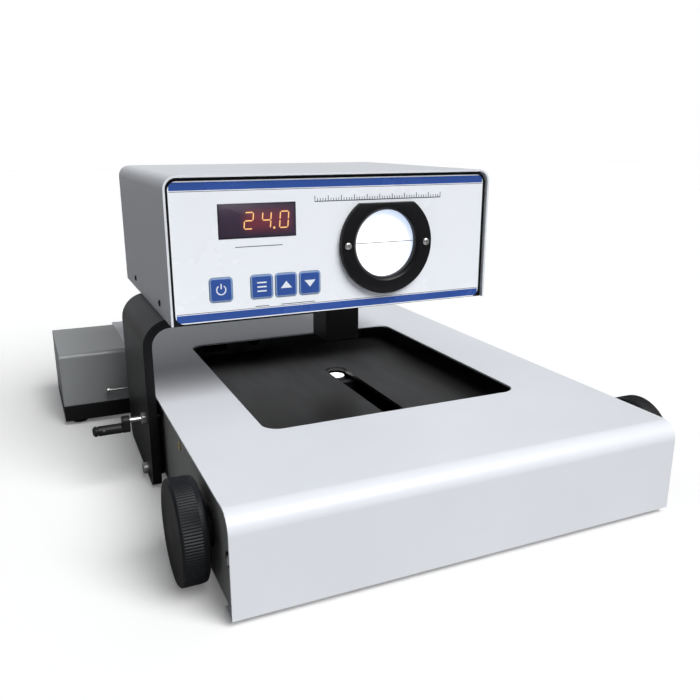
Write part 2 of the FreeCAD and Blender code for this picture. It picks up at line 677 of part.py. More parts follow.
def make_knobs():
    """Each knob is turned: a hub at the back, a chamfered rim and a shallow dished face."""
    corners = [
        (0, "knob_depth - 1.2"), (0, "knob_depth - 2.4"),
        ("shaft_radius", "knob_depth - 2.4"), ("shaft_radius", 0),
        ("knob_radius - 6", 0), ("knob_radius - 5", 1.5), ("knob_radius - 1.5", 1.5), ("knob_radius", 3),
        ("knob_radius", "knob_depth - knob_chamfer"),
        ("knob_radius - knob_chamfer", "knob_depth"), ("knob_radius - 7", "knob_depth"),
        ("knob_radius - 8", "knob_depth - 1.2"),
    ]
    left = turned("left_knob", "x", "-knob_gap", "shaft_y", "shaft_height", corners)
    left.Placement = Placement(Vector(), Rotation(Vector(0, 1, 0), -90))
    place(left, "-knob_gap", "shaft_y", "shaft_height")
    node("left_knob", left)
    node("right_knob", turned("right_knob", "x", "base_width + knob_gap", "shaft_y", "shaft_height", corners))


def make_encoder():
    disc = rod("disc_plate", "x", "disc_left", "shaft_y", "shaft_height", "disc_radius", "disc_gauge")
    hub = rod("disc_hub", "x", "disc_left - 4", "shaft_y", "shaft_height", "collar_radius", 4)
    bore = rod("disc_bore", "x", "disc_left - 5", "shaft_y", "shaft_height", "shaft_radius", 8)
    windows = []
    count = 24
    for number in range(count):
        angle = 2 * math.pi * number / count
        windows.append(rod(f"disc_window_{number}", "x", "disc_left - 1",
                           f"shaft_y + window_circle * {math.cos(angle):.4f}",
                           f"shaft_height + window_circle * {math.sin(angle):.4f}",
                           "disc_window", "disc_gauge + 2"))
    node("encoder_disc", cut("encoder_disc", join("disc_solid", disc, hub), bore, *windows))
    body = block("sensor_body", "disc_left - 5", "shaft_y + 11", FLOOR_TOP, 11.5, 20, 44)
    slot = block("sensor_slot", "disc_left - 0.7", "shaft_y + 10", 12, "disc_gauge + 1.4", 15, 40)
    node("encoder_sensor", cut("encoder_sensor", body, slot))


# ---------------------------------------------------------------- lamp and condenser

def make_lamp():
    holder = tube("holder_tube", "z", "axis_x", "axis_y", FLOOR_TOP, "holder_radius", "holder_radius - 2",
                  f"holder_top - ({FLOOR_TOP})")
    ledge = tube("holder_ledge", "z", "axis_x", "axis_y", "condenser_low - 2", "holder_radius - 1",
                 "condenser_radius - 2", 2)
    collar = tube("holder_collar", "z", "axis_x", "axis_y", "condenser_low", "holder_radius - 1",
                  "condenser_radius", "holder_top - condenser_low")
    vents = [block(f"holder_vent_{side}", f"axis_x + {across}", "axis_y - 40", 18, 5, 80, 10)
             for side, across in (("left", -10), ("right", 10))]
    node("condenser_holder", cut("condenser_holder", join("holder_solid", holder, ledge, collar), *vents))
    edge = rod("condenser_edge", "z", "axis_x", "axis_y", "condenser_low", "condenser_radius", 9)
    dome = ball("condenser_dome", "axis_x", "axis_y", "condenser_low + 8.8 - dome_radius", "dome_radius")
    node("condenser_lens", common("condenser_lens", edge, dome))
    node("lamp_socket", block(
        "lamp_socket", "axis_x - socket_side / 2", "axis_y - socket_side / 2", FLOOR_TOP,
        "socket_side", "socket_side", "socket_tall"))
    glass = rod("bulb_glass", "z", "axis_x", "axis_y", f"{FLOOR_TOP} + socket_tall",
                "bulb_radius", "bulb_tall")
    tip = ball("bulb_tip", "axis_x", "axis_y", f"{FLOOR_TOP} + socket_tall + bulb_tall", "bulb_radius")
    node("lamp_bulb", join("lamp_bulb", glass, tip))
    wide = cone("reflector_outer", "z", "axis_x", "axis_y", f"{FLOOR_TOP} + socket_tall", 10, 21, 16)
    hollow = cone("reflector_inner", "z", "axis_x", "axis_y", f"{FLOOR_TOP} + socket_tall", 8.5, 20, 16)
    node("lamp_reflector", cut("lamp_reflector", wide, hollow))


# ---------------------------------------------------------------- arm and crank

LOW_ARM_BOLT = ("arm_front + 23", "9")
HIGH_ARM_BOLT = ("arm_front + 44", "44")
FLANGE_BOLTS = [(x, y) for x in ("30", "110") for y in ("arm_front + 18", "arm_front + 82")]


def bolt_hole(name, x, length, spot):
    return rod(name, "x", x, *spot, "arm_bolt", length)


def make_arm():
    """A leg with a rounded foot, a quarter bend and a flange under the head."""
    corners = [
        ("0", "head_low - arm_fold"), ("0", "arm_low"),
        ("arm_depth", "arm_heel"), ("arm_depth", "head_low - arm_fold"),
    ]
    leg = rounded(
        "arm_leg",
        plate("arm_leg_plate", "YZ_Plane", "arm_outer", "arm_front", 0, corners, "arm_gauge"),
        "arm_corner", "x", lambda p: p.z < 12)
    ring = tube("arm_ring", "y", "arm_outer + arm_fold", "arm_front", "head_low - arm_fold",
                "arm_fold", "arm_fold - arm_gauge", "arm_depth")
    corner = block("arm_bend_block", "arm_outer", "arm_front", "head_low - arm_fold",
                   "arm_fold", "arm_depth", "arm_fold")
    bend = common("arm_bend", ring, corner)
    flange = rounded(
        "arm_flange_plate",
        block("arm_flange_block", "arm_outer + arm_fold", "arm_front", "head_low - arm_gauge",
              "arm_flange", "arm_depth", "arm_gauge"),
        "flange_corner", "z", lambda p: p.x > 60)
    holes = [bolt_hole("arm_low_hole", "arm_outer - 1", "arm_gauge + 2", LOW_ARM_BOLT),
             bolt_hole("arm_blind_hole", "arm_outer + blind_wall", "arm_gauge", HIGH_ARM_BOLT)]
    holes += [rod(f"arm_flange_hole_{number}", "z", x, y, "head_low - arm_gauge - 1", "arm_bolt",
                  "arm_gauge + 2") for number, (x, y) in enumerate(FLANGE_BOLTS)]
    holes.append(rod("arm_crank_hole", "x", "arm_outer - 1", "crank_y", "crank_height",
                     "crank_radius + running_gap", "arm_gauge + 2"))
    node("head_arm", cut("head_arm", join("arm_solid", leg, bend, flange), *holes))


def make_arm_mount():
    """A spacer between the arm and the side plate, and a backing plate inside the base."""
    spacer = block("spacer_blank", "arm_outer + arm_gauge", "spacer_front", "spacer_low",
                   "side_inset - arm_outer - arm_gauge", "spacer_length", "spacer_tall")
    backing = block("backing_blank", INNER_LEFT, "backing_front", f"{FLOOR_TOP} + flange_height + 0.5",
                    "backing_gauge", "backing_length", "backing_tall")
    through = "side_inset + plate_gauge - arm_outer"
    spacer_holes = [bolt_hole("spacer_low_hole", "arm_outer", through, LOW_ARM_BOLT),
                    bolt_hole("spacer_high_hole", "arm_outer", through, HIGH_ARM_BOLT)]
    node("arm_mount_block", group(
        "arm_mount_block",
        cut("mount_spacer", spacer, *spacer_holes),
        cut("mount_backing", backing, bolt_hole("backing_hole", "0", "3 * backing_gauge", HIGH_ARM_BOLT))))


def make_arm_bolts():
    """One bolt through the foot from outside, one from inside into a blind hole, and the flange's four."""
    reach = f"{INNER_LEFT} + backing_gauge - arm_outer"
    low = cut(
        "low_bolt",
        join("low_bolt_solid",
             rod("low_bolt_head", "x", "arm_outer - bolt_cap", *LOW_ARM_BOLT, "bolt_head", "bolt_cap"),
             bolt_hole("low_bolt_shank", "arm_outer", reach, LOW_ARM_BOLT)),
        rod("low_bolt_socket", "x", "arm_outer - bolt_cap", *LOW_ARM_BOLT, "bolt_head / 2", "bolt_cap / 2"))
    high = join(
        "high_bolt",
        rod("high_bolt_head", "x", f"{INNER_LEFT} + backing_gauge", *HIGH_ARM_BOLT, "bolt_head", "bolt_cap"),
        bolt_hole("high_bolt_shank", "arm_outer + blind_wall", f"{reach} - blind_wall", HIGH_ARM_BOLT))
    bolts = [low, high]
    for number, (x, y) in enumerate(FLANGE_BOLTS):
        head = rod(f"flange_bolt_head_{number}", "z", x, y, "head_low - arm_gauge - bolt_cap",
                   "bolt_head", "bolt_cap")
        shank = rod(f"flange_bolt_shank_{number}", "z", x, y, "head_low - arm_gauge", "arm_bolt",
                    "arm_gauge + plate_gauge")
        bolts.append(join(f"flange_bolt_{number}", head, shank))
    node("arm_bolts", group("arm_bolts", *bolts))


def make_crank():
    """A thin shaft through the arm, its nut, and a short crank with a handle at its outer end."""
    y, z = "crank_y", "crank_height"
    low = "crank_height - crank_throw"
    node("crank_shaft", rod("crank_shaft", "x", "crank_face", y, z, "crank_radius",
                            "crank_inner - crank_face"))
    prism = doc.addObject("Part::Prism", "nut_prism")
    prism.Polygon = 6
    bind(prism, Circumradius="nut_radius", Height="nut_tall")
    place(prism, "arm_outer - nut_tall", y, z, ALONG["x"])
    bore = rod("nut_bore", "x", "arm_outer - nut_tall - 1", y, z, "crank_radius + running_gap",
               "nut_tall + 2")
    node("crank_nut", cut("crank_nut", prism, bore))
    eye = rod("crank_eye", "x", "crank_face", y, z, "crank_eye", "crank_gauge")
    low_eye = rod("crank_low_eye", "x", "crank_face", y, low, "crank_eye", "crank_gauge")
    web = block("crank_web", "crank_face", "crank_y - crank_eye", low,
                "crank_gauge", "2 * crank_eye", "crank_throw")
    shaft_hole = rod("crank_shaft_hole", "x", "crank_face - 1", y, z, "crank_radius", "crank_gauge + 2")
    node("crank_arm", cut("crank_arm", join("crank_solid", eye, low_eye, web), shaft_hole))
    handle = turned("crank_handle", "x", "handle_end", y, low, [
        (0, 0), ("handle_radius - 1", 0), ("handle_radius", 1), ("handle_radius", 3.2),
        ("handle_radius - 0.7", 3.8), ("handle_radius - 0.7", 4.8), ("handle_radius", 5.4),
        ("handle_radius", "crank_face - handle_end"), (0, "crank_face - handle_end")])
    node("crank_handle", handle)


# ---------------------------------------------------------------- head

HEAD_SCREWS = ("head_front + head_screw_front", "head_front + head_screw_rear")
HEAD_SCREW_Z = "head_low + 9"
HEAD_IN = "head_left + sheet_gauge"
HEAD_CLEAR = "head_width - 2 * sheet_gauge"


def make_head_cover():
    outer = rounded(
        "head_outer",
        block("head_block", "head_left", "head_front", "head_low", "head_width", "head_depth", "head_height"),
        "head_fold", "y", lambda p: p.z > 200)
    inner = rounded(
        "head_inner",
        block("head_hollow", "head_left + sheet_gauge", "head_front - 1", "head_low - 1",
              "head_width - 2 * sheet_gauge", "head_depth + 2", "head_height + 1 - sheet_gauge"),
        "head_fold - sheet_gauge", "y", lambda p: p.z > 200)
    holes = [rod(f"head_hole_{side}_{number}", "x", x, y, HEAD_SCREW_Z, "screw_radius", 4)
             for side, x in (("left", "head_left - 1"), ("right", "head_left + head_width - 3"))
             for number, y in enumerate(HEAD_SCREWS)]
    node("head_cover", cut("head_cover", outer, inner, *holes))


def make_head_chassis():
    """Bottom plate with upturned side flanges, pierced for the light path and the arm's bolts."""
    start = f"{PANEL_Y} + plate_gauge"
    depth = "head_depth - panel_recess - plate_gauge - 4"
    blank = block("chassis_blank", HEAD_IN, start, "head_low", HEAD_CLEAR, depth, "chassis_flange")
    hollow = block("chassis_hollow", f"{HEAD_IN} + plate_gauge", f"{start} - 1", "head_low + plate_gauge",
                   f"{HEAD_CLEAR} - 2 * plate_gauge", f"{depth} + 2", "chassis_flange")
    light = rod("chassis_light", "z", "axis_x", "axis_y", "head_low - 1", "barrel_radius + 2", 6)
    holes = [rod(f"chassis_hole_{number}", "z", x, y, "head_low - 1", "arm_bolt", 6)
             for number, (x, y) in enumerate(FLANGE_BOLTS)]
    holes += [rod(f"chassis_side_hole_{side}_{number}", "x", x, y, HEAD_SCREW_Z, "screw_radius", 5)
              for side, x in (("left", f"{HEAD_IN} - 1"), ("right", f"{HEAD_IN} + {HEAD_CLEAR} - 3"))
              for number, y in enumerate(HEAD_SCREWS)]
    node("head_chassis", cut("head_chassis", blank, hollow, light, *holes))


def panel_holes(name, y, depth):
    """The openings that the front panel and its overlay share: window, keys and screen."""
    holes = [block(name + "_window", "window_left", y, "window_low", "window_width", depth, "window_height"),
             rod(name + "_screen", "y", "axis_x", y, "screen_height", "screen_radius + 0.3", depth)]
    for key, x in KEYS.items():
        sharp = block(f"{name}_{key}_sharp", f"{x} - key_gap", y, "key_low - key_gap",
                      "key_width + 2 * key_gap", depth, "key_height + 2 * key_gap")
        holes.append(rounded(f"{name}_{key}", sharp, "key_radius + key_gap", "y", lambda p: True))
    for side in (-1, 1):
        holes.append(rod(f"{name}_bezel_{side + 1}", "y", f"axis_x + {side} * bezel_screw", y,
                         "screen_height", "screw_radius", depth))
    return holes


def make_front_panel():
    wide = f"{HEAD_CLEAR} - 1"
    tall = "head_height - sheet_gauge - 0.5"
    x = f"{HEAD_IN} + 0.5"
    panel = block("panel_blank", x, PANEL_Y, "head_low", wide, "plate_gauge", tall)
    soft = rounded("panel_corners", panel, "head_fold", "y", lambda p: p.z > 200)
    node("front_panel", cut("front_panel", soft, *panel_holes("panel", f"{PANEL_Y} - 1", "plate_gauge + 2")))
    film = block("film_blank", f"{x} + 1.6", f"{PANEL_Y} - overlay_gauge", "head_low + 0.4",
                 f"{wide} - 3.8", "overlay_gauge", f"{tall} - 2.2")
    film_round = rounded("film_corners", film, "head_fold - 3", "y", lambda p: True)
    node("panel_overlay", cut("panel_overlay", film_round,
                              *panel_holes("film", f"{PANEL_Y} - overlay_gauge - 1", "overlay_gauge + 1")))


def make_display():
    node("display_window", block("display_window", "window_left", f"{PANEL_Y} - overlay_gauge", "window_low",
                                 "window_width", "plate_gauge + overlay_gauge", "window_height"))
    digits = [block(f"digit_{number}", f"window_left + 2.6 + {number} * digit_pitch",
                    f"{PANEL_Y} + plate_gauge", "window_low + 2.3", "digit_pitch - 0.3", "board_gap", 19) for number in range(4)]
    node("digit_modules", group("digit_modules", *digits))
    switches = [block("board_blank", 26, BOARD_Y, 137, 96, 1.6, 78)]
    for key, x in KEYS.items():
        start = f"{PANEL_Y} + plate_gauge + 2.6"
        switches.append(block(f"switch_{key}", f"{x} + key_width / 2 - 3", start,
                              "key_low + key_height / 2 - 3", 6, f"{BOARD_Y} - ({start})", 6))
    node("display_board", group("display_board", *switches))


def make_keys():
    """Each key is a cap with a retaining flange behind the panel."""
    for key, x in KEYS.items():
        cap = block(key + "_cap", x, f"{PANEL_Y} - overlay_gauge - key_proud", "key_low",
                    "key_width", "key_proud + overlay_gauge + plate_gauge + 0.4", "key_height")
        soft = rounded(key + "_soft", cap, "key_radius", "y", lambda p: True)
        flange = block(key + "_flange", f"{x} - 0.8", f"{PANEL_Y} + plate_gauge + 0.3", "key_low - 1.2",
                       "key_width + 1.6", 1.2, "key_height + 2.4")
        node(key, join(key, soft, flange))


def make_screen():
    face_y = f"{PANEL_Y} - overlay_gauge - bezel_gauge"
    ring = rod("bezel_ring", "y", "axis_x", face_y, "screen_height", "bezel_radius", "bezel_gauge")
    over = block("bezel_over", "axis_x - 50", f"{face_y} - 1", "screen_height + bezel_flat",
                 100, "bezel_gauge + 2", 20)
    bore = rod("bezel_bore", "y", "axis_x", f"{face_y} - 1", "screen_height", "screen_radius",
               "bezel_gauge + 2")
    bevel = cone("bezel_bevel", "y", "axis_x", face_y, "screen_height",
                 "screen_radius + 2", "screen_radius", 2)
    holes = [rod(f"bezel_hole_{side + 1}", "y", f"axis_x + {side} * bezel_screw", f"{face_y} - 1",
                 "screen_height", "screw_radius", "bezel_gauge + 2") for side in (-1, 1)]
    node("screen_bezel", cut("screen_bezel", ring, over, bore, bevel, *holes))
    back = f"{PANEL_Y} + plate_gauge"
    node("ground_glass", rod("ground_glass", "y", "axis_x", back, "screen_height", "glass_radius", 2))
    node("hairline", block("hairline", "axis_x - screen_radius", f"{back} - 0.3", "screen_height + 0.3",
                           "2 * screen_radius", 0.3, 0.4))
    screws = [screw(f"bezel_screw_{side + 1}", "y", f"axis_x + {side} * bezel_screw", face_y,
                    "screen_height", 1.2, 8) for side in (-1, 1)]
    for number, y in enumerate(HEAD_SCREWS):
        screws.append(screw(f"head_screw_left_{number}", "x", "head_left", y, HEAD_SCREW_Z, 1.2, 5))
        screws.append(screw(f"head_screw_right_{number}", "x", "head_left + head_width", y, HEAD_SCREW_Z,
                            1.2, 5, -1))
    screws += [rod(f"board_post_{number}", "y", x, back, z, 2.5, "board_gap")
               for number, (x, z) in enumerate(((30, 168), (118, 168), (30, 211), (118, 211)))]
    node("head_screws", group("head_screws", *screws))


def make_lens():
    low = block("lens_block_blank", "axis_x - lens_side / 2", "axis_y - lens_side / 2", "lens_low",
                "lens_side", "lens_side", "head_low - lens_low")
    bore = rod("lens_block_bore", "z", "axis_x", "axis_y", "lens_low - 1", "barrel_radius + running_gap",
               "head_low - lens_low + 2")
    node("lens_block", cut("lens_block", low, bore))
    node("lens_barrel", tube("lens_barrel", "z", "axis_x", "axis_y", "barrel_low", "barrel_radius",
                             "lens_radius", "barrel_length"))
    edge = rod("objective_edge", "z", "axis_x", "axis_y", "barrel_low + 3", "lens_radius", 6)
    dome = ball("objective_dome", "axis_x", "axis_y", "barrel_low + 3 + 5.8 - 16", 16)
    node("objective_lens", common("objective_lens", edge, dome))


def make_mirror():
    """A mirror at 45 degrees over the lens, held between two cheeks."""
    tilt = Rotation(Vector(1, 0, 0), 45)
    half = "mirror_length / 2 * sqrt(0.5)"
    mirror = doc.addObject("Part::Box", "head_mirror")
    bind(mirror, Length="mirror_width", Width="mirror_gauge", Height="mirror_length")
    place(mirror, "axis_x - mirror_width / 2", f"axis_y + {half}", f"screen_height - {half}", tilt)
    node("head_mirror", mirror)
    corners = [("-34", "0"), ("34", "0"), ("34", "22"), ("-22", "78"), ("-34", "78")]
    cheeks = [plate(f"cheek_{side}", "YZ_Plane", x, "axis_y", "head_low + plate_gauge", corners,
                    "plate_gauge")
              for side, x in (("left", "axis_x - mirror_width / 2 - plate_gauge"),
                              ("right", "axis_x + mirror_width / 2"))]
    node("mirror_bracket", group("mirror_bracket", *cheeks))


def make_head_rear():
    blank = block("head_rear_blank", f"{HEAD_IN} + 0.5", "head_front + head_depth - 4", "head_low",
                  f"{HEAD_CLEAR} - 1", "plate_gauge", "head_height - sheet_gauge - 0.5")
    soft = rounded("head_rear_soft", blank, "head_fold", "y", lambda p: p.z > 200)
    slots = [block(f"head_slot_{number}", f"head_slot_left + {number} * head_slot_step",
                   "head_front + head_depth - 5", "head_low + head_slot_low",
                   "slot_gap", "plate_gauge + 2", "head_slot_tall") for number in range(16)]
    node("head_rear_panel", cut("head_rear_panel", soft, *slots))


# ---------------------------------------------------------------- power box and rear fittings

BOX_FLANGE_X = "side_inset - sheet_gauge"
BOX_SCREWS = (("335", "24"), ("335", "52"))
BOX_REAR = "box_front + box_depth"


def make_power_box():
    """A folded cover with a flange on the base's side, over a black base tray."""
    width = "side_inset - box_left"
    outer = rounded(
        "box_outer",
        block("box_block", "box_left", "box_front", "box_band", width, "box_depth", "box_top - box_band"),
        "box_fold", "x", lambda p: p.y < 350 and p.z > 60)
    inner = rounded(
        "box_inner",
        block("box_hollow", "box_left + sheet_gauge", "box_front + sheet_gauge", "box_band - 1",
              width, "box_depth - 2 * sheet_gauge", "box_top - box_band + 1 - sheet_gauge"),
        "box_fold - sheet_gauge", "x", lambda p: p.y < 350 and p.z > 60)
    flange = block("box_flange", BOX_FLANGE_X, "box_front - 12", "box_band",
                   "sheet_gauge", 12.5, "box_top - box_fold - box_band")
    inlet = block("box_inlet_hole", "inlet_x - 14", f"{BOX_REAR} - 5", "inlet_height - 11", 28, 10, 22)
    holes = [rod(f"box_hole_{number}", "x", "-2", y, z, "screw_radius", 6)
             for number, (y, z) in enumerate(BOX_SCREWS)]
    step = block("box_step", -0.3, "box_front - 1", f"{COVER_LOW} - 0.5", 5, "box_depth + 2", 10)
    shell = cut("box_shell", outer, inner, step)
    node("power_box_cover", cut("power_box_cover", join("box_joined", shell, flange), inlet, *holes))
    base = block("box_base_blank", "box_left", "box_front", "foot_height", width, "box_depth",
                 "box_band - foot_height")
    hollow = block("box_base_hollow", "box_left + plate_gauge", "box_front + plate_gauge", FLOOR_TOP,
                   f"{width} - 2 * plate_gauge", "box_depth - 2 * plate_gauge", 30)
    node("power_box_base", cut("power_box_base", base, hollow))


def make_transformer():
    core = block("core_blank", "core_left", "core_front", FLOOR_TOP, "core_width", "core_length", "core_tall")
    hollow, coil = [block(name, "core_left + core_limb", "core_front - 1", f"{FLOOR_TOP} + core_limb",
                          "core_width - 2 * core_limb", "core_length + 2", "core_tall - 2 * core_limb")
                    for name in ("core_hollow", "coil_blank")]
    coil = rounded("coil_soft", coil, 3, "y", lambda p: True)
    node("transformer", group("transformer", cut("transformer_core", core, hollow), coil))


def make_inlet():
    """A three-pin chassis inlet whose flange sits on the power box's rear wall."""
    x, z = "inlet_x", "inlet_height"
    flange = block("inlet_flange", f"{x} - 18", BOX_REAR, f"{z} - 14", 36, 2.5, 28)
    body = block("inlet_body", f"{x} - 14", f"{BOX_REAR} - 18", f"{z} - 11", 28, 18, 22)
    socket = rounded(
        "inlet_socket",
        block("inlet_recess", f"{x} - 12", f"{BOX_REAR} - 14", f"{z} - 9", 24, 20, 18),
        4, "y", lambda p: p.z > 40)
    shell = cut("inlet_shell", join("inlet_solid", flange, body), socket)
    pins = [block(f"inlet_pin_{number}", f"{x} + {across} - 1", f"{BOX_REAR} - 14", f"{z} + {up} - 2", 2, 12, 4)
            for number, (across, up) in enumerate(((-7, 0), (7, 0), (0, 5)))]
    node("power_inlet", group("power_inlet", shell, *pins))


def make_switch():
    """A rocker switch in the rear panel; the rocker rests tilted to one side."""
    x, z = "switch_x", "rear_height"
    flange = block("mains_flange", f"{x} - 14", REAR_Y, f"{z} - 12", 28, 1.5, 24)
    body = block("mains_body", f"{x} - switch_width / 2", f"{REAR_Y} - fitting_depth", f"{z} - switch_tall / 2",
                 "switch_width", "fitting_depth", "switch_tall")
    recess = block("mains_recess", f"{x} - 9.4", f"{REAR_Y} - 12", f"{z} - 8", 18.8, 20, 16)
    node("mains_switch", cut("mains_switch", join("mains_solid", flange, body), recess))
    corners = [("-3", "-6"), ("3.8", "-6.2"), ("4.4", "0"), ("3.8", "6.2"), ("-3", "6")]
    rocker = plate("rocker", "YZ_Plane", f"{x} - 9", f"{REAR_Y} - 1", z, corners, "18")
    rocker.Placement = Placement(Vector(), Rotation(Vector(1, 0, 0), -worth("rocker_tilt")))
    place(rocker, f"{x} - 9", f"{REAR_Y} - 1", z)
    node("rocker", rocker)


def make_fuse():
    node("fuse_cap", turned("fuse_cap", "y", "fuse_x", REAR_Y, "rear_height", [
        (0, -24), ("fuse_radius", -24), ("fuse_radius", 0), (8.5, 0), (8.5, 2), (6.5, 2.6), (6.5, 5.2), (5.8, 5.6), (0, 5.6)]))


# ---------------------------------------------------------------- build, check, write

def make_all():
    make_base_cover()
    make_side("left", "side_inset")
    make_side("right", "base_width - side_inset - plate_gauge")
    make_base_floor()
    make_rear_panel()
    make_feet()
    make_base_screws()
    make_tray()
    make_guides()
    make_bearing_blocks()
    make_pinion()
    make_rack()
    make_shaft()
    make_knobs()
    make_encoder()
    make_lamp()
    make_arm()
    make_arm_mount()
    make_arm_bolts()
    make_crank()
    make_head_cover()
    make_head_chassis()
    make_front_panel()
    make_display()
    make_keys()
    make_screen()
    make_lens()
    make_mirror()
    make_head_rear()
    make_power_box()
    make_transformer()
    make_inlet()
    make_switch()
    make_fuse()


def check():
    for thing in doc.Objects:
        if {"Invalid", "Error"} & set(thing.State):
            raise RuntimeError(f"{thing.Label} failed: {thing.State}")
    for piece in nodes:
        if piece.Shape.isNull() or not piece.Shape.isValid() or not piece.Shape.Solids:
            raise RuntimeError(f"{piece.Label} has no valid solid")


def write():
    os.makedirs("parts", exist_ok=True)
    for name in os.listdir("parts"):
        os.remove(os.path.join("parts", name))
    for piece in nodes:
        piece.Shape.exportStep(f"parts/{piece.Label}.step")


fill_sheet()
gauge = make_gauge()
make_all()
doc.recompute()
check()
write()
print(len(nodes), "sub-parts written")
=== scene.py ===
import functools
import json
import math

import bmesh
import bpy
from bpy.props import FloatProperty, FloatVectorProperty, IntProperty, PointerProperty, StringProperty
from mathutils import Matrix, Vector


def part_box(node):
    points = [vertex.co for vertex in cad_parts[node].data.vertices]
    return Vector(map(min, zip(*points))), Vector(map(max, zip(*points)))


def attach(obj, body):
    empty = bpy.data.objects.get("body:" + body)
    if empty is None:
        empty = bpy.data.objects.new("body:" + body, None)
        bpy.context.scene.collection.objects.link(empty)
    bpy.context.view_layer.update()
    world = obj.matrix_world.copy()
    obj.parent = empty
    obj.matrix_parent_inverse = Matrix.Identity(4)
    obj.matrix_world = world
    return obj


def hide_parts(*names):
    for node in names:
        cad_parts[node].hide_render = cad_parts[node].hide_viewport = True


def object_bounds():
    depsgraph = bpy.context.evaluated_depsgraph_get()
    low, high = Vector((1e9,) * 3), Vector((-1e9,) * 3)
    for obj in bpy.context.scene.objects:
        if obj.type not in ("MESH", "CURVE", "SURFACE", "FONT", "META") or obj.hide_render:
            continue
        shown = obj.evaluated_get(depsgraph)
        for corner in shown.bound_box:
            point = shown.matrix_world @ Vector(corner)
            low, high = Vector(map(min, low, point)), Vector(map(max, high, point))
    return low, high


bl_info = {
    "name": "Zone reader finishes",
    "version": (1, 0, 0),
    "blender": (4, 5, 0),
    "location": "View3D > Sidebar > Reader",
    "description": "Finishes and detail for a bench-top digital zone reader",
    "category": "Object",
}

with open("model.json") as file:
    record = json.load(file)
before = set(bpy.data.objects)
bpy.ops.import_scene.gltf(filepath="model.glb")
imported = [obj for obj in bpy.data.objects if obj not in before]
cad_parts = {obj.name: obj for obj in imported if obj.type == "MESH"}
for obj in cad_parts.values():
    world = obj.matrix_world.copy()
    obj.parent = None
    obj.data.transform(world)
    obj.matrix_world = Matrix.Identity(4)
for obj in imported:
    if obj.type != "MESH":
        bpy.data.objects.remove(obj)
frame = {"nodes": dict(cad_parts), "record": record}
CAD_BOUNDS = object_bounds()
NODES = frame["nodes"]
RECORD = frame["record"]
SLOT_OF = {entry["node"]: entry["material_slot"] for entry in RECORD["subparts"]}
BODY_OF = {node: body for body, members in RECORD["behaviour"]["bodies"].items() for node in members}
MM = 0.001


def middle(node):
    low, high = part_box(node)
    return (low + high) / 2


def extent(node):
    """Lowest corner, highest corner and middle of a node's box."""
    return (*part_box(node), middle(node))


PANEL_LOW, PANEL_HIGH, PANEL_MIDDLE = extent("panel_overlay")
WINDOW_LOW, WINDOW_HIGH, WINDOW_MIDDLE = extent("display_window")
SCREEN = middle("ground_glass")


# ---------------------------------------------------------------- settings

class PaintSettings(bpy.types.PropertyGroup):
    light_grey: FloatVectorProperty(
        name="Cover grey", description="Powder coat of the base and head covers",
        subtype="COLOR", size=3, min=0, max=1, default=(0.78, 0.80, 0.845))
    # Painted shade: the side and rear plates get a darker grey than the covers, which stands in for the shade
    # that falls on the sides.
    shaded_side_grey: FloatVectorProperty(
        name="Side grey with painted shade", description="Powder coat of the side and rear plates",
        subtype="COLOR", size=3, min=0, max=1, default=(0.40, 0.405, 0.40))
    box_grey: FloatVectorProperty(
        name="Box grey", description="Powder coat of the power box",
        subtype="COLOR", size=3, min=0, max=1, default=(0.36, 0.375, 0.38))
    edge_width: FloatProperty(
        name="Edge softness", description="Width of the softened edge of a cover's sheet",
        subtype="DISTANCE", unit="LENGTH", default=0.5 * MM, min=0)


class KnobSettings(bpy.types.PropertyGroup):
    ribs: IntProperty(name="Ribs", description="Straight ribs round a knob's rim", default=110, min=12)
    rib_depth: FloatProperty(
        name="Rib depth", description="Height of a rib above the rim's groove",
        subtype="DISTANCE", unit="LENGTH", default=0.35 * MM, min=0)
    face_chamfer: FloatProperty(
        name="Face chamfer", description="Chamfer between a knob's face and its rim",
        subtype="DISTANCE", unit="LENGTH", default=1.1 * MM, min=0)


class PanelSettings(bpy.types.PropertyGroup):
    film: FloatVectorProperty(
        name="Film", description="Ground colour of the printed overlay",
        subtype="COLOR", size=3, min=0, max=1, default=(0.90, 0.93, 0.975))
    blue: FloatVectorProperty(
        name="Blue", description="Bands, keys and frames",
        subtype="COLOR", size=3, min=0, max=1, default=(0.030, 0.085, 0.34))
    band_height: FloatProperty(
        name="Band", description="Height of the printed bands",
        subtype="DISTANCE", unit="LENGTH", default=5.2 * MM, min=0)
    margin: FloatProperty(
        name="Margin", description="Bare film round the printed bands",
        subtype="DISTANCE", unit="LENGTH", default=0.8 * MM, min=0)
    key_border: FloatProperty(
        name="Key border", description="Width of the pale frame round each key",
        subtype="DISTANCE", unit="LENGTH", default=1.1 * MM, min=0)


class DisplaySettings(bpy.types.PropertyGroup):
    reading: StringProperty(
        name="Reading", description="Characters shown, one to a digit module; a point follows its digit",
        default=" 24.0")
    digit_height: FloatProperty(
        name="Digit height", description="Height of a lit digit",
        subtype="DISTANCE", unit="LENGTH", default=12.4 * MM, min=0)
    digit_width: FloatProperty(
        name="Digit width", description="Width of a lit digit",
        subtype="DISTANCE", unit="LENGTH", default=7.4 * MM, min=0)
    bar_width: FloatProperty(
        name="Bar width", description="Width of one bar of a digit",
        subtype="DISTANCE", unit="LENGTH", default=1.35 * MM, min=0)
    core: FloatVectorProperty(
        name="Core", description="Colour at the middle of a lit bar",
        subtype="COLOR", size=3, min=0, max=1, default=(1.0, 0.50, 0.17))
    glow: FloatVectorProperty(
        name="Glow", description="Colour of the light round a lit bar",
        subtype="COLOR", size=3, min=0, max=1, default=(1.0, 0.10, 0.015))


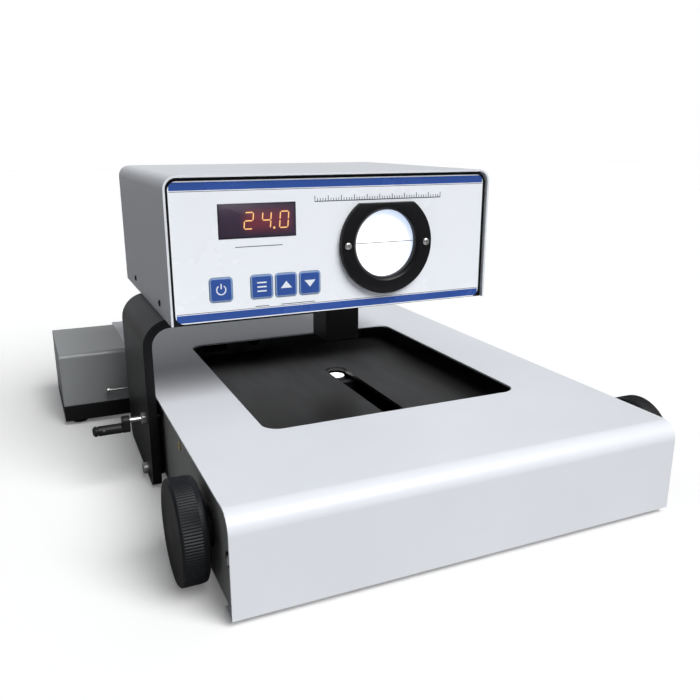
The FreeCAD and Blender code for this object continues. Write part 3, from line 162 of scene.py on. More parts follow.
class StageSettings(bpy.types.PropertyGroup):
    sun: FloatProperty(
        name="Main light", description="Soft light from above the front right", default=3.4, min=0)
    sun_spread: FloatProperty(
        name="Softness", description="Apparent size of the main light",
        subtype="ANGLE", unit="ROTATION", default=math.radians(42), min=0)
    sky: FloatProperty(
        name="Surroundings", description="Brightness of the surroundings", default=0.18, min=0)
    backdrop: FloatProperty(
        name="Backdrop", description="Brightness of the pale wall behind, in reflections",
        default=0.30, min=0)
    floor_seen: FloatProperty(
        name="Floor tone", description="Tone of the floor where it is seen directly",
        default=0.93, min=0, max=1)
    floor_cast: FloatProperty(
        name="Floor bounce", description="Tone of the floor in the light that it throws up",
        default=0.26, min=0, max=1)


def settings(kind):
    return getattr(bpy.context.scene, "reader_" + kind)


# ---------------------------------------------------------------- meshes

def new_object(name, mesh):
    thing = bpy.data.objects.new(name, mesh)
    bpy.context.scene.collection.objects.link(thing)
    return thing


def from_faces(name, verts, faces, material, smooth_angle=None):
    """An object from points and faces, with its normals turned outwards."""
    mesh = bpy.data.meshes.new(name)
    mesh.from_pydata([tuple(v) for v in verts], [], faces)
    work = bmesh.new()
    work.from_mesh(mesh)
    bmesh.ops.remove_doubles(work, verts=work.verts, dist=1e-7)
    bmesh.ops.recalc_face_normals(work, faces=work.faces)
    work.to_mesh(mesh)
    work.free()
    mesh.materials.append(material)
    if smooth_angle is not None:
        mesh.shade_smooth()
        mesh.set_sharp_from_angle(angle=math.radians(smooth_angle))
    return new_object(name, mesh)


def joined(name, pieces):
    """One object from several, whose materials are kept."""
    mesh = bpy.data.meshes.new(name)
    work = bmesh.new()
    materials = []
    for piece in pieces:
        shift = {}
        for number, material in enumerate(piece.data.materials):
            if material not in materials:
                materials.append(material)
            shift[number] = materials.index(material)
        before = len(work.faces)
        work.from_mesh(piece.data)
        work.faces.ensure_lookup_table()
        for face in work.faces[before:]:
            face.material_index = shift[face.material_index]
    work.to_mesh(mesh)
    work.free()
    for material in materials:
        mesh.materials.append(material)
    for piece in pieces:
        bpy.data.objects.remove(piece)
    return new_object(name, mesh)


def finished(thing):
    """The object as its modifiers leave it, with none left on it."""
    depsgraph = bpy.context.evaluated_depsgraph_get()
    mesh = bpy.data.meshes.new_from_object(thing.evaluated_get(depsgraph))
    thing.modifiers.clear()
    thing.data = mesh
    return thing


def rounded_loop(width, height, radius, steps=6):
    """Points of a rounded rectangle about the origin, counter-clockwise."""
    radius = max(min(radius, width / 2 - 1e-6, height / 2 - 1e-6), 1e-6)
    points = []
    for corner, (sx, sy) in enumerate(((1, 1), (-1, 1), (-1, -1), (1, -1))):
        for step in range(steps + 1):
            angle = math.pi / 2 * (corner + step / steps)
            points.append((sx * (width / 2 - radius) + radius * math.cos(angle),
                           sy * (height / 2 - radius) + radius * math.sin(angle)))
    return points


def lofted(name, loops, material, smooth_angle=35, caps=True):
    """Skin over closed loops that all have the same number of points."""
    count = len(loops[0])
    verts = [point for loop in loops for point in loop]
    faces = []
    for level in range(len(loops) - 1):
        for step in range(count):
            ahead = (step + 1) % count
            faces.append((level * count + step, level * count + ahead,
                          (level + 1) * count + ahead, (level + 1) * count + step))
    if caps:
        faces.append(tuple(range(count)))
        faces.append(tuple(range((len(loops) - 1) * count, len(loops) * count)))
    return from_faces(name, verts, faces, material, smooth_angle)


def panel_solid(name, centre, width, height, radius, sections, material):
    """A rounded plate that faces -Y; sections are (y, inset) pairs from back to front."""
    loops = []
    for y, inset in sections:
        loop = rounded_loop(width - 2 * inset, height - 2 * inset, max(radius - inset, 0.02 * MM))
        loops.append([Vector((centre.x + u, y, centre.z + v)) for u, v in loop])
    return lofted(name, loops, material)


def axes_along(direction):
    """Two unit vectors square to a direction."""
    direction = Vector(direction).normalized()
    across = direction.orthogonal().normalized()
    return direction, across, direction.cross(across)


def lathe(name, origin, direction, profile, material, steps=96, ripple=None, smooth_angle=32):
    """A turned solid from (distance, radius) pairs; ripple changes the radius round the axis."""
    along, across, up = axes_along(direction)
    loops = []
    for distance, radius in profile:
        loop = []
        for step in range(steps):
            angle = 2 * math.pi * step / steps
            here = radius + (ripple(angle, distance, radius) if ripple else 0)
            loop.append(Vector(origin) + along * distance
                        + (across * math.cos(angle) + up * math.sin(angle)) * max(here, 0.001 * MM))
        loops.append(loop)
    return lofted(name, loops, material, smooth_angle)


def welded(node):
    """A joined-up copy of a CAD node's mesh."""
    work = bmesh.new()
    work.from_mesh(NODES[node].data)
    bmesh.ops.remove_doubles(work, verts=work.verts, dist=1e-6)
    return work


def softened(node, name, material, width, segments=2, least_angle=40):
    """A copy of a node whose sharp edges have a small round."""
    work = welded(node)
    bmesh.ops.dissolve_limit(work, angle_limit=math.radians(0.4), verts=work.verts, edges=work.edges)
    sharp = [edge for edge in work.edges
             if len(edge.link_faces) == 2 and edge.calc_face_angle(0) > math.radians(least_angle)]
    bmesh.ops.bevel(work, geom=sharp, offset=width, offset_type="OFFSET", segments=segments,
                    profile=0.5, affect="EDGES", clamp_overlap=True)
    mesh = bpy.data.meshes.new(name)
    work.to_mesh(mesh)
    work.free()
    mesh.materials.append(material)
    mesh.shade_smooth()
    mesh.set_sharp_from_angle(angle=math.radians(50))
    thing = new_object(name, mesh)
    weights = thing.modifiers.new("weights", "WEIGHTED_NORMAL")
    weights.keep_sharp = True
    return finished(thing)


def stand_for(piece, *nodes):
    """The piece takes the place and the body of these nodes, which are hidden."""
    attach(piece, BODY_OF[nodes[0]])
    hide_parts(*nodes)
    return piece


def add_to(piece, node):
    """The piece rides with a node, and the node stays."""
    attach(piece, BODY_OF[node])
    return piece


# ---------------------------------------------------------------- repeats by geometry nodes

def spots_object(name, spots):
    """Points that carry the direction each copy faces."""
    mesh = bpy.data.meshes.new(name)
    mesh.from_pydata([tuple(place) for place, _ in spots], [], [])
    facing = mesh.attributes.new("facing", "FLOAT_VECTOR", "POINT")
    for number, (_, direction) in enumerate(spots):
        facing.data[number].vector = direction
    return new_object(name, mesh)


def repeat_tree():
    """Node tree that sets a copy of one object on every point, turned to face the point's direction."""
    tree = bpy.data.node_groups.get("copies on points")
    if tree:
        return tree
    tree = bpy.data.node_groups.new("copies on points", "GeometryNodeTree")
    tree.interface.new_socket("Points", in_out="INPUT", socket_type="NodeSocketGeometry")
    tree.interface.new_socket("Copy", in_out="INPUT", socket_type="NodeSocketObject")
    tree.interface.new_socket("Finish", in_out="INPUT", socket_type="NodeSocketMaterial")
    size = tree.interface.new_socket("Size", in_out="INPUT", socket_type="NodeSocketFloat")
    size.default_value = 1.0
    tree.interface.new_socket("Pieces", in_out="OUTPUT", socket_type="NodeSocketGeometry")
    nodes, links = tree.nodes, tree.links
    start = nodes.new("NodeGroupInput")
    end = nodes.new("NodeGroupOutput")
    info = nodes.new("GeometryNodeObjectInfo")
    facing = nodes.new("GeometryNodeInputNamedAttribute")
    facing.data_type = "FLOAT_VECTOR"
    facing.inputs["Name"].default_value = "facing"
    turn = nodes.new("FunctionNodeAlignRotationToVector")
    turn.axis = "Z"
    copies = nodes.new("GeometryNodeInstanceOnPoints")
    real = nodes.new("GeometryNodeRealizeInstances")
    coat = nodes.new("GeometryNodeSetMaterial")
    links.new(start.outputs["Copy"], info.inputs["Object"])
    links.new(facing.outputs["Attribute"], turn.inputs["Vector"])
    links.new(start.outputs["Points"], copies.inputs["Points"])
    links.new(info.outputs["Geometry"], copies.inputs["Instance"])
    links.new(turn.outputs["Rotation"], copies.inputs["Rotation"])
    links.new(start.outputs["Size"], copies.inputs["Scale"])
    links.new(copies.outputs["Instances"], real.inputs["Geometry"])
    links.new(real.outputs["Geometry"], coat.inputs["Geometry"])
    links.new(start.outputs["Finish"], coat.inputs["Material"])
    links.new(coat.outputs["Geometry"], end.inputs["Pieces"])
    return tree


def set_input(modifier, name, value):
    for item in modifier.node_group.interface.items_tree:
        if item.item_type == "SOCKET" and item.in_out == "INPUT" and item.name == name:
            modifier[item.identifier] = value


def repeated(name, master, spots, material, size=1.0):
    """Copies of the master, which lies about the origin and faces +Z, on every spot."""
    points = spots_object(name, spots)
    modifier = points.modifiers.new("copies", "NODES")
    modifier.node_group = repeat_tree()
    set_input(modifier, "Copy", master)
    set_input(modifier, "Finish", material)
    set_input(modifier, "Size", size)
    finished(points)
    bpy.data.objects.remove(master)
    points.data.shade_smooth()
    points.data.set_sharp_from_angle(angle=math.radians(35))
    return points


# ---------------------------------------------------------------- shader groups

def shader_group(name, inputs, outputs):
    """Turn a function that fills a group's nodes into one that gives the group, made only once."""
    def wrap(fill):
        @functools.wraps(fill)
        def group():
            if name not in bpy.data.node_groups:
                tree = bpy.data.node_groups.new(name, "ShaderNodeTree")
                for label, value in inputs.items():
                    kind = "NodeSocketFloat" if isinstance(value, float) else "NodeSocketVector"
                    tree.interface.new_socket(label, in_out="INPUT", socket_type=kind).default_value = value
                for label in outputs:
                    tree.interface.new_socket(label, in_out="OUTPUT", socket_type="NodeSocketFloat")
                fill(tree, tree.nodes.new("NodeGroupInput").outputs, tree.nodes.new("NodeGroupOutput"))
            return bpy.data.node_groups[name]
        return group
    return wrap


def feed(tree, socket, value):
    """Set a socket to a number or a colour, or link another socket to it."""
    if isinstance(value, bpy.types.NodeSocket):
        tree.links.new(value, socket)
    elif isinstance(value, (int, float)) or socket.type != "RGBA":
        socket.default_value = value
    else:
        socket.default_value = (*value[:3], 1.0)


def feed_all(tree, node, **values):
    """Feed a node's inputs by name, with an underscore for each space."""
    for label, value in values.items():
        feed(tree, node.inputs[label.replace("_", " ")], value)


def math_node(tree, operation, first, second=None, clamp=False):
    node = tree.nodes.new("ShaderNodeMath")
    node.operation = operation
    node.use_clamp = clamp
    feed(tree, node.inputs[0], first)
    if second is not None:
        feed(tree, node.inputs[1], second)
    return node.outputs[0]


def plus(tree, first, second, clamp=False):
    return math_node(tree, "ADD", first, second, clamp)


def minus(tree, first, second):
    return math_node(tree, "SUBTRACT", first, second)


def times(tree, first, second, clamp=False):
    return math_node(tree, "MULTIPLY", first, second, clamp)


def ramp(tree, value, start, slope):
    """0 up to the start, then rising by the slope to no more than 1."""
    return times(tree, minus(tree, value, start), slope, True)


def noise_node(tree, vector, scale, detail=3.0, roughness=0.55):
    node = tree.nodes.new("ShaderNodeTexNoise")
    feed_all(tree, node, Detail=detail, Roughness=roughness, Scale=scale, Vector=vector)
    return node.outputs["Fac"]


def texture_space(tree):
    return tree.nodes.new("ShaderNodeTexCoord").outputs["Object"]


@shader_group("surface grain", {"Grain": 900.0, "Cloud": 9.0, "Roughness": 0.4, "Spread": 0.08},
              ("Height", "Roughness", "Tone"))
def grain_group(tree, given, end):
    """Fine texture of a coated, moulded or cast surface: a height, a roughness and a slow tone."""
    space = texture_space(tree)
    slow = noise_node(tree, space, given["Cloud"], 4.0)
    swing = times(tree, minus(tree, slow, 0.5), given["Spread"])
    feed_all(tree, end, Height=noise_node(tree, space, given["Grain"], 2.0), Tone=slow,
             Roughness=plus(tree, given["Roughness"], times(tree, swing, 2.0), True))


@shader_group("handling wear", {"Amount": 0.5, "Specks": 60.0}, ("Mask",))
def wear_group(tree, given, end):
    """Mask of small specks and of faint rubbed patches, both from the place on the part."""
    space = texture_space(tree)
    broken = ramp(tree, noise_node(tree, space, 240.0, 4.0, 0.7), 0.62, 6.0)
    patch = ramp(tree, noise_node(tree, space, 18.0, 2.0), 0.56, 5.0)
    cells = tree.nodes.new("ShaderNodeTexVoronoi")
    feed_all(tree, cells, Vector=space, Scale=given["Specks"])
    near = math_node(tree, "LESS_THAN", cells.outputs["Distance"], 0.035)
    rare = math_node(tree, "GREATER_THAN", noise_node(tree, space, 25.0, 1.0), 0.58)
    total = math_node(tree, "MAXIMUM", times(tree, times(tree, broken, patch), 0.5),
                      times(tree, times(tree, near, rare), 0.6))
    feed_all(tree, end, Mask=times(tree, total, given["Amount"], True))


@shader_group("tool lines", {"Stretch": (1.0, 1.0, 1.0), "Roughness": 0.28}, ("Height", "Roughness"))
def brush_group(tree, given, end):
    """Fine lines that run round a turned part or along a drawn one."""
    stretch = tree.nodes.new("ShaderNodeVectorMath")
    stretch.operation = "MULTIPLY"
    feed(tree, stretch.inputs[0], texture_space(tree))
    feed(tree, stretch.inputs[1], given["Stretch"])
    lines = noise_node(tree, stretch.outputs[0], 1.0, 3.0, 0.6)
    swing = times(tree, minus(tree, lines, 0.5), 0.25)
    feed_all(tree, end, Height=lines, Roughness=plus(tree, given["Roughness"], swing, True))


@shader_group("soft box", {"Centre X": 0.0, "Centre Z": 0.0, "Half width": 0.01, "Half height": 0.01,
                           "Softness": 0.001}, ("Mask",))
def box_mask_group(tree, given, end):
    """1 inside a box on X and Z, falling softly to 0 outside it."""
    parts = tree.nodes.new("ShaderNodeSeparateXYZ")
    feed(tree, parts.inputs[0], texture_space(tree))
    sides = []
    for axis, half in (("X", "Half width"), ("Z", "Half height")):
        off = math_node(tree, "ABSOLUTE", minus(tree, parts.outputs[axis], given["Centre " + axis]))
        share = math_node(tree, "DIVIDE", minus(tree, given[half], off), given["Softness"])
        sides.append(plus(tree, share, 1.0, True))
    feed_all(tree, end, Mask=times(tree, *sides))


# ---------------------------------------------------------------- materials

def use_group(tree, group, **values):
    """Outputs of a shader group whose inputs have these values."""
    node = tree.nodes.new("ShaderNodeGroup")
    node.node_tree = group
    feed_all(tree, node, **values)
    return node.outputs


def mixed(tree, factor, first, second):
    """A colour between two, each a colour or a socket."""
    node = tree.nodes.new("ShaderNodeMix")
    node.data_type = "RGBA"
    feed(tree, node.inputs["Factor"], factor)
    feed(tree, node.inputs[6], first)
    feed(tree, node.inputs[7], second)
    return node.outputs[2]


def scaled(colour, factor):
    return tuple(min(1.0, channel * factor) for channel in colour[:3])


def material_from(name, fill):
    """The material of this name, whose nodes are filled in when it is first asked for."""
    if name not in bpy.data.materials:
        material = bpy.data.materials.new(name)
        material.use_nodes = True
        fill(material.node_tree, material.node_tree.nodes["Principled BSDF"])
    return bpy.data.materials[name]


def finish(name):
    """Turn a function that fills a material's nodes into one that gives the material."""
    def wrap(fill):
        @functools.wraps(fill)
        def given():
            return material_from(name, fill)
        return given
    return wrap


def bump_from(tree, height, strength, distance=0.1 * MM):
    """Normal for a surface that rises and falls with a height."""
    bump = tree.nodes.new("ShaderNodeBump")
    feed_all(tree, bump, Strength=strength, Distance=distance, Height=height)
    return bump.outputs["Normal"]


def coated(name, colour, roughness, grain=1100.0, bump=0.12, wear=0.35, wear_colour=None, coat=0.0,
           spread=0.07, specular=0.4):
    """Paint, powder coat, enamel or moulded plastic."""
    def fill(tree, shader):
        surface = use_group(tree, grain_group(), Grain=grain, Roughness=roughness, Spread=spread)
        worn = use_group(tree, wear_group(), Amount=wear)
        toned = mixed(tree, surface["Tone"], scaled(colour, 0.94), scaled(colour, 1.05))
        rubbed = wear_colour or scaled(colour, 1.6)
        feed_all(tree, shader, Base_Color=mixed(tree, worn["Mask"], toned, rubbed),
                 Roughness=surface["Roughness"], Specular_IOR_Level=specular, Coat_Weight=coat,
                 Coat_Roughness=0.12, Normal=bump_from(tree, surface["Height"], bump))
    return material_from(name, fill)


def machined(name, colour, roughness, stretch=(600.0, 600.0, 600.0), bump=0.1):
    """Bright metal with the lines of its making."""
    def fill(tree, shader):
        lines = use_group(tree, brush_group(), Stretch=stretch, Roughness=roughness)
        slow = noise_node(tree, texture_space(tree), 70.0, 3.0)
        feed_all(tree, shader, Base_Color=mixed(tree, slow, scaled(colour, 0.86), scaled(colour, 1.06)),
                 Roughness=lines["Roughness"], Metallic=1.0,
                 Normal=bump_from(tree, lines["Height"], bump, 0.05 * MM))
    return material_from(name, fill)


def glowing(name, colour, strength, base=(0.02, 0.02, 0.02)):
    """A surface that gives its own light."""
    def fill(tree, shader):
        slow = noise_node(tree, texture_space(tree), 900.0, 2.0)
        feed_all(tree, shader, Emission_Color=mixed(tree, slow, scaled(colour, 0.8), scaled(colour, 1.1)),
                 Emission_Strength=strength, Base_Color=base, Roughness=0.5)
    return material_from(name, fill)


def cover_finish():
    return coated("powder coat light", settings("paint").light_grey, 0.34, grain=1500.0, bump=0.10, wear=0.25,
                  wear_colour=(0.55, 0.56, 0.58), coat=0.05, specular=0.3)


def shaded_side_finish():
    # Painted shade: the darker side grey stands in for the shade on the side and rear plates.
    return coated("powder coat side with painted shade", settings("paint").shaded_side_grey, 0.42, grain=1500.0, bump=0.12, wear=0.3)


def box_finish():
    return coated("powder coat box", settings("paint").box_grey, 0.36, grain=1500.0, bump=0.1, wear=0.3,
                  coat=0.2)


def enamel_finish():
    return coated("satin black enamel", (0.006, 0.006, 0.007), 0.36, grain=700.0, bump=0.15, wear=0.3,
                  wear_colour=(0.05, 0.05, 0.055), specular=0.22)


def phenolic_finish():
    return coated("knob phenolic", (0.007, 0.008, 0.010), 0.46, grain=1300.0, bump=0.14, wear=0.4,
                  wear_colour=(0.06, 0.07, 0.08), spread=0.14, specular=0.25)


def plastic_finish():
    return coated("black moulding", (0.010, 0.010, 0.011), 0.44, grain=1600.0, bump=0.2, wear=0.3,
                  wear_colour=(0.05, 0.05, 0.05), specular=0.25)


def rubber_finish():
    return coated("foot rubber", (0.02, 0.02, 0.02), 0.75, grain=900.0, bump=0.3, wear=0.2)


def sheet_finish():
    return machined("mill sheet", (0.60, 0.61, 0.62), 0.42, stretch=(40.0, 900.0, 900.0))


def steel_finish():
    return machined("bright steel", (0.62, 0.62, 0.61), 0.36, stretch=(2200.0, 160.0, 160.0), bump=0.12)


def zinc_finish():
    return machined("yellow zinc", (0.66, 0.58, 0.36), 0.34, stretch=(500.0, 500.0, 500.0))


def brass_finish():
    return machined("turned brass", (0.72, 0.53, 0.24), 0.27, stretch=(1800.0, 200.0, 200.0))


@finish("gloss black tray")
def gloss_tray_finish(tree, shader):
    """Polished black sheet with faint dust and wipe marks."""
    space = texture_space(tree)
    wipes = use_group(tree, brush_group(), Stretch=(38.0, 9.0, 20.0), Roughness=0.34)
    dust = ramp(tree, noise_node(tree, space, 2600.0, 2.0), 0.66, 5.0)
    cloud = ramp(tree, noise_node(tree, space, 14.0, 4.0), 0.45, 1.4)
    mask = times(tree, dust, cloud)
    feed_all(tree, shader, Base_Color=mixed(tree, mask, (0.016, 0.016, 0.016), (0.09, 0.09, 0.09)),
             Roughness=plus(tree, wipes["Roughness"], times(tree, mask, 0.3), True), Specular_IOR_Level=0.4)


@finish("printed film")
def film_finish(tree, shader):
    """Printed film: white ground with a ruled blue band at the top and the bottom edge."""
    panel = settings("panel")
    half_width = (PANEL_HIGH.x - PANEL_LOW.x) / 2 - panel.margin
    half, half_rule = panel.band_height / 2, 0.16 * MM
    bands, rules = [], []
    for edge, way in ((PANEL_HIGH.z, -1), (PANEL_LOW.z, 1)):
        z = edge + way * (panel.margin + half)
        rule_z = z + way * (half + panel.margin)
        for masks, place, reach, soft in ((bands, z, half, 0.12), (rules, rule_z, half_rule, 0.08)):
            box = use_group(tree, box_mask_group(), Centre_X=PANEL_MIDDLE.x, Centre_Z=place,
                            Half_width=half_width, Half_height=reach, Softness=soft * MM)
            masks.append(box["Mask"])
    surface = use_group(tree, grain_group(), Grain=2200.0, Cloud=16.0, Roughness=0.26, Spread=0.08)
    film = mixed(tree, surface["Tone"], scaled(panel.film, 0.975), scaled(panel.film, 1.02))
    ink = mixed(tree, surface["Tone"], scaled(panel.blue, 0.7), scaled(panel.blue, 1.3))
    ruled = mixed(tree, plus(tree, *rules, True), film, (0.05, 0.06, 0.12))
    printed = mixed(tree, plus(tree, *bands, True), ruled, ink)
    worn = use_group(tree, wear_group(), Amount=0.5, Specks=60.0)
    feed_all(tree, shader, Base_Color=mixed(tree, worn["Mask"], printed, (0.35, 0.37, 0.42)),
             Roughness=surface["Roughness"], Normal=bump_from(tree, surface["Height"], 0.05))


def ink_finish():
    return coated("printed ink", (0.02, 0.025, 0.04), 0.4, grain=2400.0, bump=0.05, wear=0.2)


def white_ink_finish():
    return coated("white ink", (0.82, 0.86, 0.92), 0.35, grain=2400.0, bump=0.05, wear=0.1)


def key_finish():
    return coated("key blue", settings("panel").blue, 0.28, grain=1800.0, bump=0.1, wear=0.35,
                  wear_colour=(0.25, 0.36, 0.6), coat=0.3, spread=0.12)


def key_frame_finish():
    return coated("key frame", (0.22, 0.32, 0.52), 0.34, grain=1800.0, bump=0.08, wear=0.3)


@finish("smoked window")
def window_finish(tree, shader):
    """Smoked filter with red light spread behind it round the lit digits."""
    rim = 1.3 * MM
    lit = use_group(tree, box_mask_group(), Centre_X=WINDOW_MIDDLE.x + 7 * MM, Centre_Z=WINDOW_MIDDLE.z,
                    Half_width=13 * MM, Half_height=3.0 * MM, Softness=7 * MM)
    inner = use_group(tree, box_mask_group(), Centre_X=WINDOW_MIDDLE.x, Centre_Z=WINDOW_MIDDLE.z,
                      Half_width=(WINDOW_HIGH.x - WINDOW_LOW.x) / 2 - rim,
                      Half_height=(WINDOW_HIGH.z - WINDOW_LOW.z) / 2 - rim, Softness=0.5 * MM)
    cloud = noise_node(tree, texture_space(tree), 220.0, 3.0)
    base = mixed(tree, cloud, (0.038, 0.026, 0.046), (0.052, 0.034, 0.060))
    feed_all(tree, shader, Base_Color=mixed(tree, inner["Mask"], (0.022, 0.018, 0.030), base),
             Emission_Color=mixed(tree, lit["Mask"], (0.0, 0.0, 0.0), (0.20, 0.012, 0.004)),
             Emission_Strength=0.55, Roughness=0.32, Specular_IOR_Level=0.25)


@finish("lit ground glass")
def screen_finish(tree, shader):
    """Ground glass lit from behind, a little dimmer and bluer towards its edge."""
    lit_off_centre, bright_radius = 4 * MM, 19 * MM
    place = tree.nodes.new("ShaderNodeMapping")
    place.vector_type = "POINT"
    feed_all(tree, place, Vector=texture_space(tree),
             Location=(-SCREEN.x + lit_off_centre, 0.0, -SCREEN.z + lit_off_centre))
    flat = tree.nodes.new("ShaderNodeVectorMath")
    flat.operation = "MULTIPLY"
    feed(tree, flat.inputs[0], place.outputs[0])
    feed(tree, flat.inputs[1], (1.0, 0.0, 1.0))
    length = tree.nodes.new("ShaderNodeVectorMath")
    length.operation = "LENGTH"
    feed(tree, length.inputs[0], flat.outputs[0])
    rim = ramp(tree, length.outputs["Value"], bright_radius, 75.0)
    cloud = times(tree, noise_node(tree, texture_space(tree), 60.0, 3.0), 0.16)
    tone = mixed(tree, plus(tree, rim, cloud, True), (1.0, 1.0, 1.0), (0.50, 0.62, 0.86))
    grain = noise_node(tree, texture_space(tree), 2600.0, 2.0)
    feed_all(tree, shader, Emission_Color=tone, Emission_Strength=0.95, Base_Color=(0.55, 0.56, 0.58),
             Roughness=0.6, Normal=bump_from(tree, grain, 0.2, 0.05 * MM))


@finish("polished glass")
def glass_finish(tree, shader):
    """Clear glass with a faint haze."""
    haze = noise_node(tree, texture_space(tree), 90.0, 3.0)
    feed_all(tree, shader, Base_Color=(0.93, 0.96, 0.97), Transmission_Weight=0.9, IOR=1.5,
             Roughness=times(tree, haze, 0.12))


@finish("lens in painted shade")
def shaded_lens_finish(tree, shader):
    """The condenser's dome seen from above: near-black, painted shade for the dark inside of the base seen
    through the glass, hardly reflecting, with a faint blue bloom.
    """
    bloom = noise_node(tree, texture_space(tree), 120.0, 2.0)
    feed_all(tree, shader, Base_Color=mixed(tree, bloom, (0.004, 0.005, 0.008), (0.012, 0.014, 0.022)),
             Roughness=plus(tree, times(tree, bloom, 0.2), 0.2), Specular_IOR_Level=0.15)


def lamp_glow_finish():
    return glowing("condenser light", (1.0, 0.98, 0.93), 1.7, base=(0.8, 0.8, 0.8))


def mirror_finish():
    return machined("silvered glass", (0.9, 0.91, 0.92), 0.04, stretch=(30.0, 30.0, 30.0), bump=0.01)


@finish("circuit board")
def board_finish(tree, shader):
    """Solder resist with copper tracks under it."""
    bricks = tree.nodes.new("ShaderNodeTexBrick")
    turn = tree.nodes.new("ShaderNodeMapping")
    feed_all(tree, turn, Vector=texture_space(tree), Rotation=(math.pi / 2, 0.0, 0.0))
    feed_all(tree, bricks, Vector=turn.outputs[0], Scale=95.0, Mortar_Size=0.06, Color1=(0.012, 0.085, 0.035),
             Color2=(0.016, 0.10, 0.045), Mortar=(0.05, 0.20, 0.07))
    feed_all(tree, shader, Base_Color=bricks.outputs["Color"], Roughness=0.35)


@finish("laminations")
def core_finish(tree, shader):
    """Varnished laminations."""
    waves = tree.nodes.new("ShaderNodeTexWave")
    waves.bands_direction = "Y"
    feed_all(tree, waves, Scale=420.0, Vector=texture_space(tree))
    layers = waves.outputs["Fac"]
    feed_all(tree, shader, Base_Color=mixed(tree, layers, (0.07, 0.062, 0.055), (0.16, 0.15, 0.14)),
             Metallic=0.6, Roughness=0.45, Normal=bump_from(tree, layers, 0.4))


def ceramic_finish():
    return coated("socket ceramic", (0.78, 0.75, 0.68), 0.25, grain=500.0, bump=0.1, wear=0.1, coat=0.4)


def digit_body_finish():
    return coated("display module", (0.06, 0.055, 0.06), 0.35, grain=1500.0, bump=0.1, wear=0.1)


FINISHES = {
    "cover_paint": cover_finish, "side_paint": shaded_side_finish, "box_grey": box_finish,
    "arm_black": enamel_finish, "bezel_black": enamel_finish, "knob_black": phenolic_finish,
    "tray_black": gloss_tray_finish, "black_plastic": plastic_finish, "rubber": rubber_finish,
    "steel": steel_finish, "zinc": zinc_finish, "brass": brass_finish, "bare_sheet": sheet_finish,
    "overlay_white": film_finish, "thread_grey": ink_finish, "key_blue": key_finish,
    "window_dark": window_finish, "digit_grey": digit_body_finish, "frosted": screen_finish,
    "clear_glass": glass_finish, "mirror": mirror_finish, "board_green": board_finish,
    "ceramic": ceramic_finish, "core": core_finish,
}


def finish_of(node):
    return FINISHES[SLOT_OF[node]]()


# ---------------------------------------------------------------- operators

class READER_OT_frame_finish(bpy.types.Operator):
    """Give every carried-over node its finish"""
    bl_idname = "reader.frame_finish"
    bl_label = "Finish the frame"

    def execute(self, context):
        for name, thing in NODES.items():
            material = finish_of(name)
            thing.data.materials.clear()
            thing.data.materials.append(material)
            thing.data.shade_smooth()
            thing.data.set_sharp_from_angle(angle=math.radians(32))
        return {"FINISHED"}


class READER_OT_sheet_metal(bpy.types.Operator):
    """Soften the edges of the folded covers, plates, castings and blocks"""
    bl_idname = "reader.sheet_metal"
    bl_label = "Sheet metal and castings"

    SHARES = {"base_cover": 1.0, "head_cover": 1.1, "base_left_side": 0.8, "base_right_side": 0.8,
              "rear_panel": 0.6, "head_rear_panel": 0.6, "power_box_cover": 1.2, "power_box_base": 2.0,
              "head_arm": 2.2, "arm_mount_block": 1.6, "lens_block": 1.8, "crank_arm": 1.4,
              "crank_nut": 1.2, "tray_plate": 1.0}

    def execute(self, context):
        for node, share in self.SHARES.items():
            width = share * settings("paint").edge_width
            stand_for(softened(node, node + "_finished", finish_of(node), width), node)
        return {"FINISHED"}


class READER_OT_knobs(bpy.types.Operator):
    """Turn the two knobs, with a ribbed rim and a chamfered face"""
    bl_idname = "reader.knobs"
    bl_label = "Knobs"

    def execute(self, context):
        knob = settings("knob")
        chamfer = knob.face_chamfer
        land = 0.6 * MM
        for node, way in (("left_knob", -1), ("right_knob", 1)):
            low, high, centre = extent(node)
            depth = high.x - low.x
            radius = (high.z - low.z) / 2
            back = high.x if way < 0 else low.x
            rim_start, rim_end = 0.30 * depth, depth - chamfer

            def ribs(angle, distance, here):
                inside = rim_start <= distance <= rim_end - land
                return -knob.rib_depth * (0.5 - 0.5 * math.cos(knob.ribs * angle)) if inside else 0.0

            hub = [(0.0, 4 * MM), (0.0, radius - 6 * MM), (1.2 * MM, radius - 4.6 * MM),
                   (1.5 * MM, radius - 1.6 * MM), (2.0 * MM, radius - 0.7 * MM),
                   (3.0 * MM, radius - 0.25 * MM)]
            rim = [(rim_start - 0.1 * MM, radius - 0.1 * MM), (rim_start, radius), (rim_end - land, radius),
                   (rim_end - land + 0.1 * MM, radius - 0.05 * MM), (rim_end, radius - 0.1 * MM),
                   (rim_end + 0.35 * MM, radius - 0.3 * MM)]
            face = [(depth - 0.3 * MM, radius - chamfer * 0.9), (depth - 0.05 * MM, radius - chamfer * 1.1),
                    (depth, radius - chamfer * 1.35), (depth, radius - 6.8 * MM),
                    (depth - 0.25 * MM, radius - 7.4 * MM), (depth - 0.5 * MM, 8 * MM),
                    (depth - 0.5 * MM, 0.0)]
            piece = lathe(node + "_finished", (back, centre.y, centre.z), (way, 0, 0), hub + rim + face,
                          phenolic_finish(), steps=knob.ribs * 6, ripple=ribs, smooth_angle=28)
            stand_for(piece, node)
        return {"FINISHED"}


def carved(master, tool):
    """The master with the tool's solid taken out of it."""
    carve = master.modifiers.new("carve", "BOOLEAN")
    carve.operation = "DIFFERENCE"
    carve.solver = "EXACT"
    carve.object = tool
    finished(master)
    bpy.data.objects.remove(tool)
    return master


def circle_loop(radius, z, steps):
    angles = [2 * math.pi * step / steps for step in range(steps)]
    return [Vector((radius * math.cos(angle), radius * math.sin(angle), z)) for angle in angles]


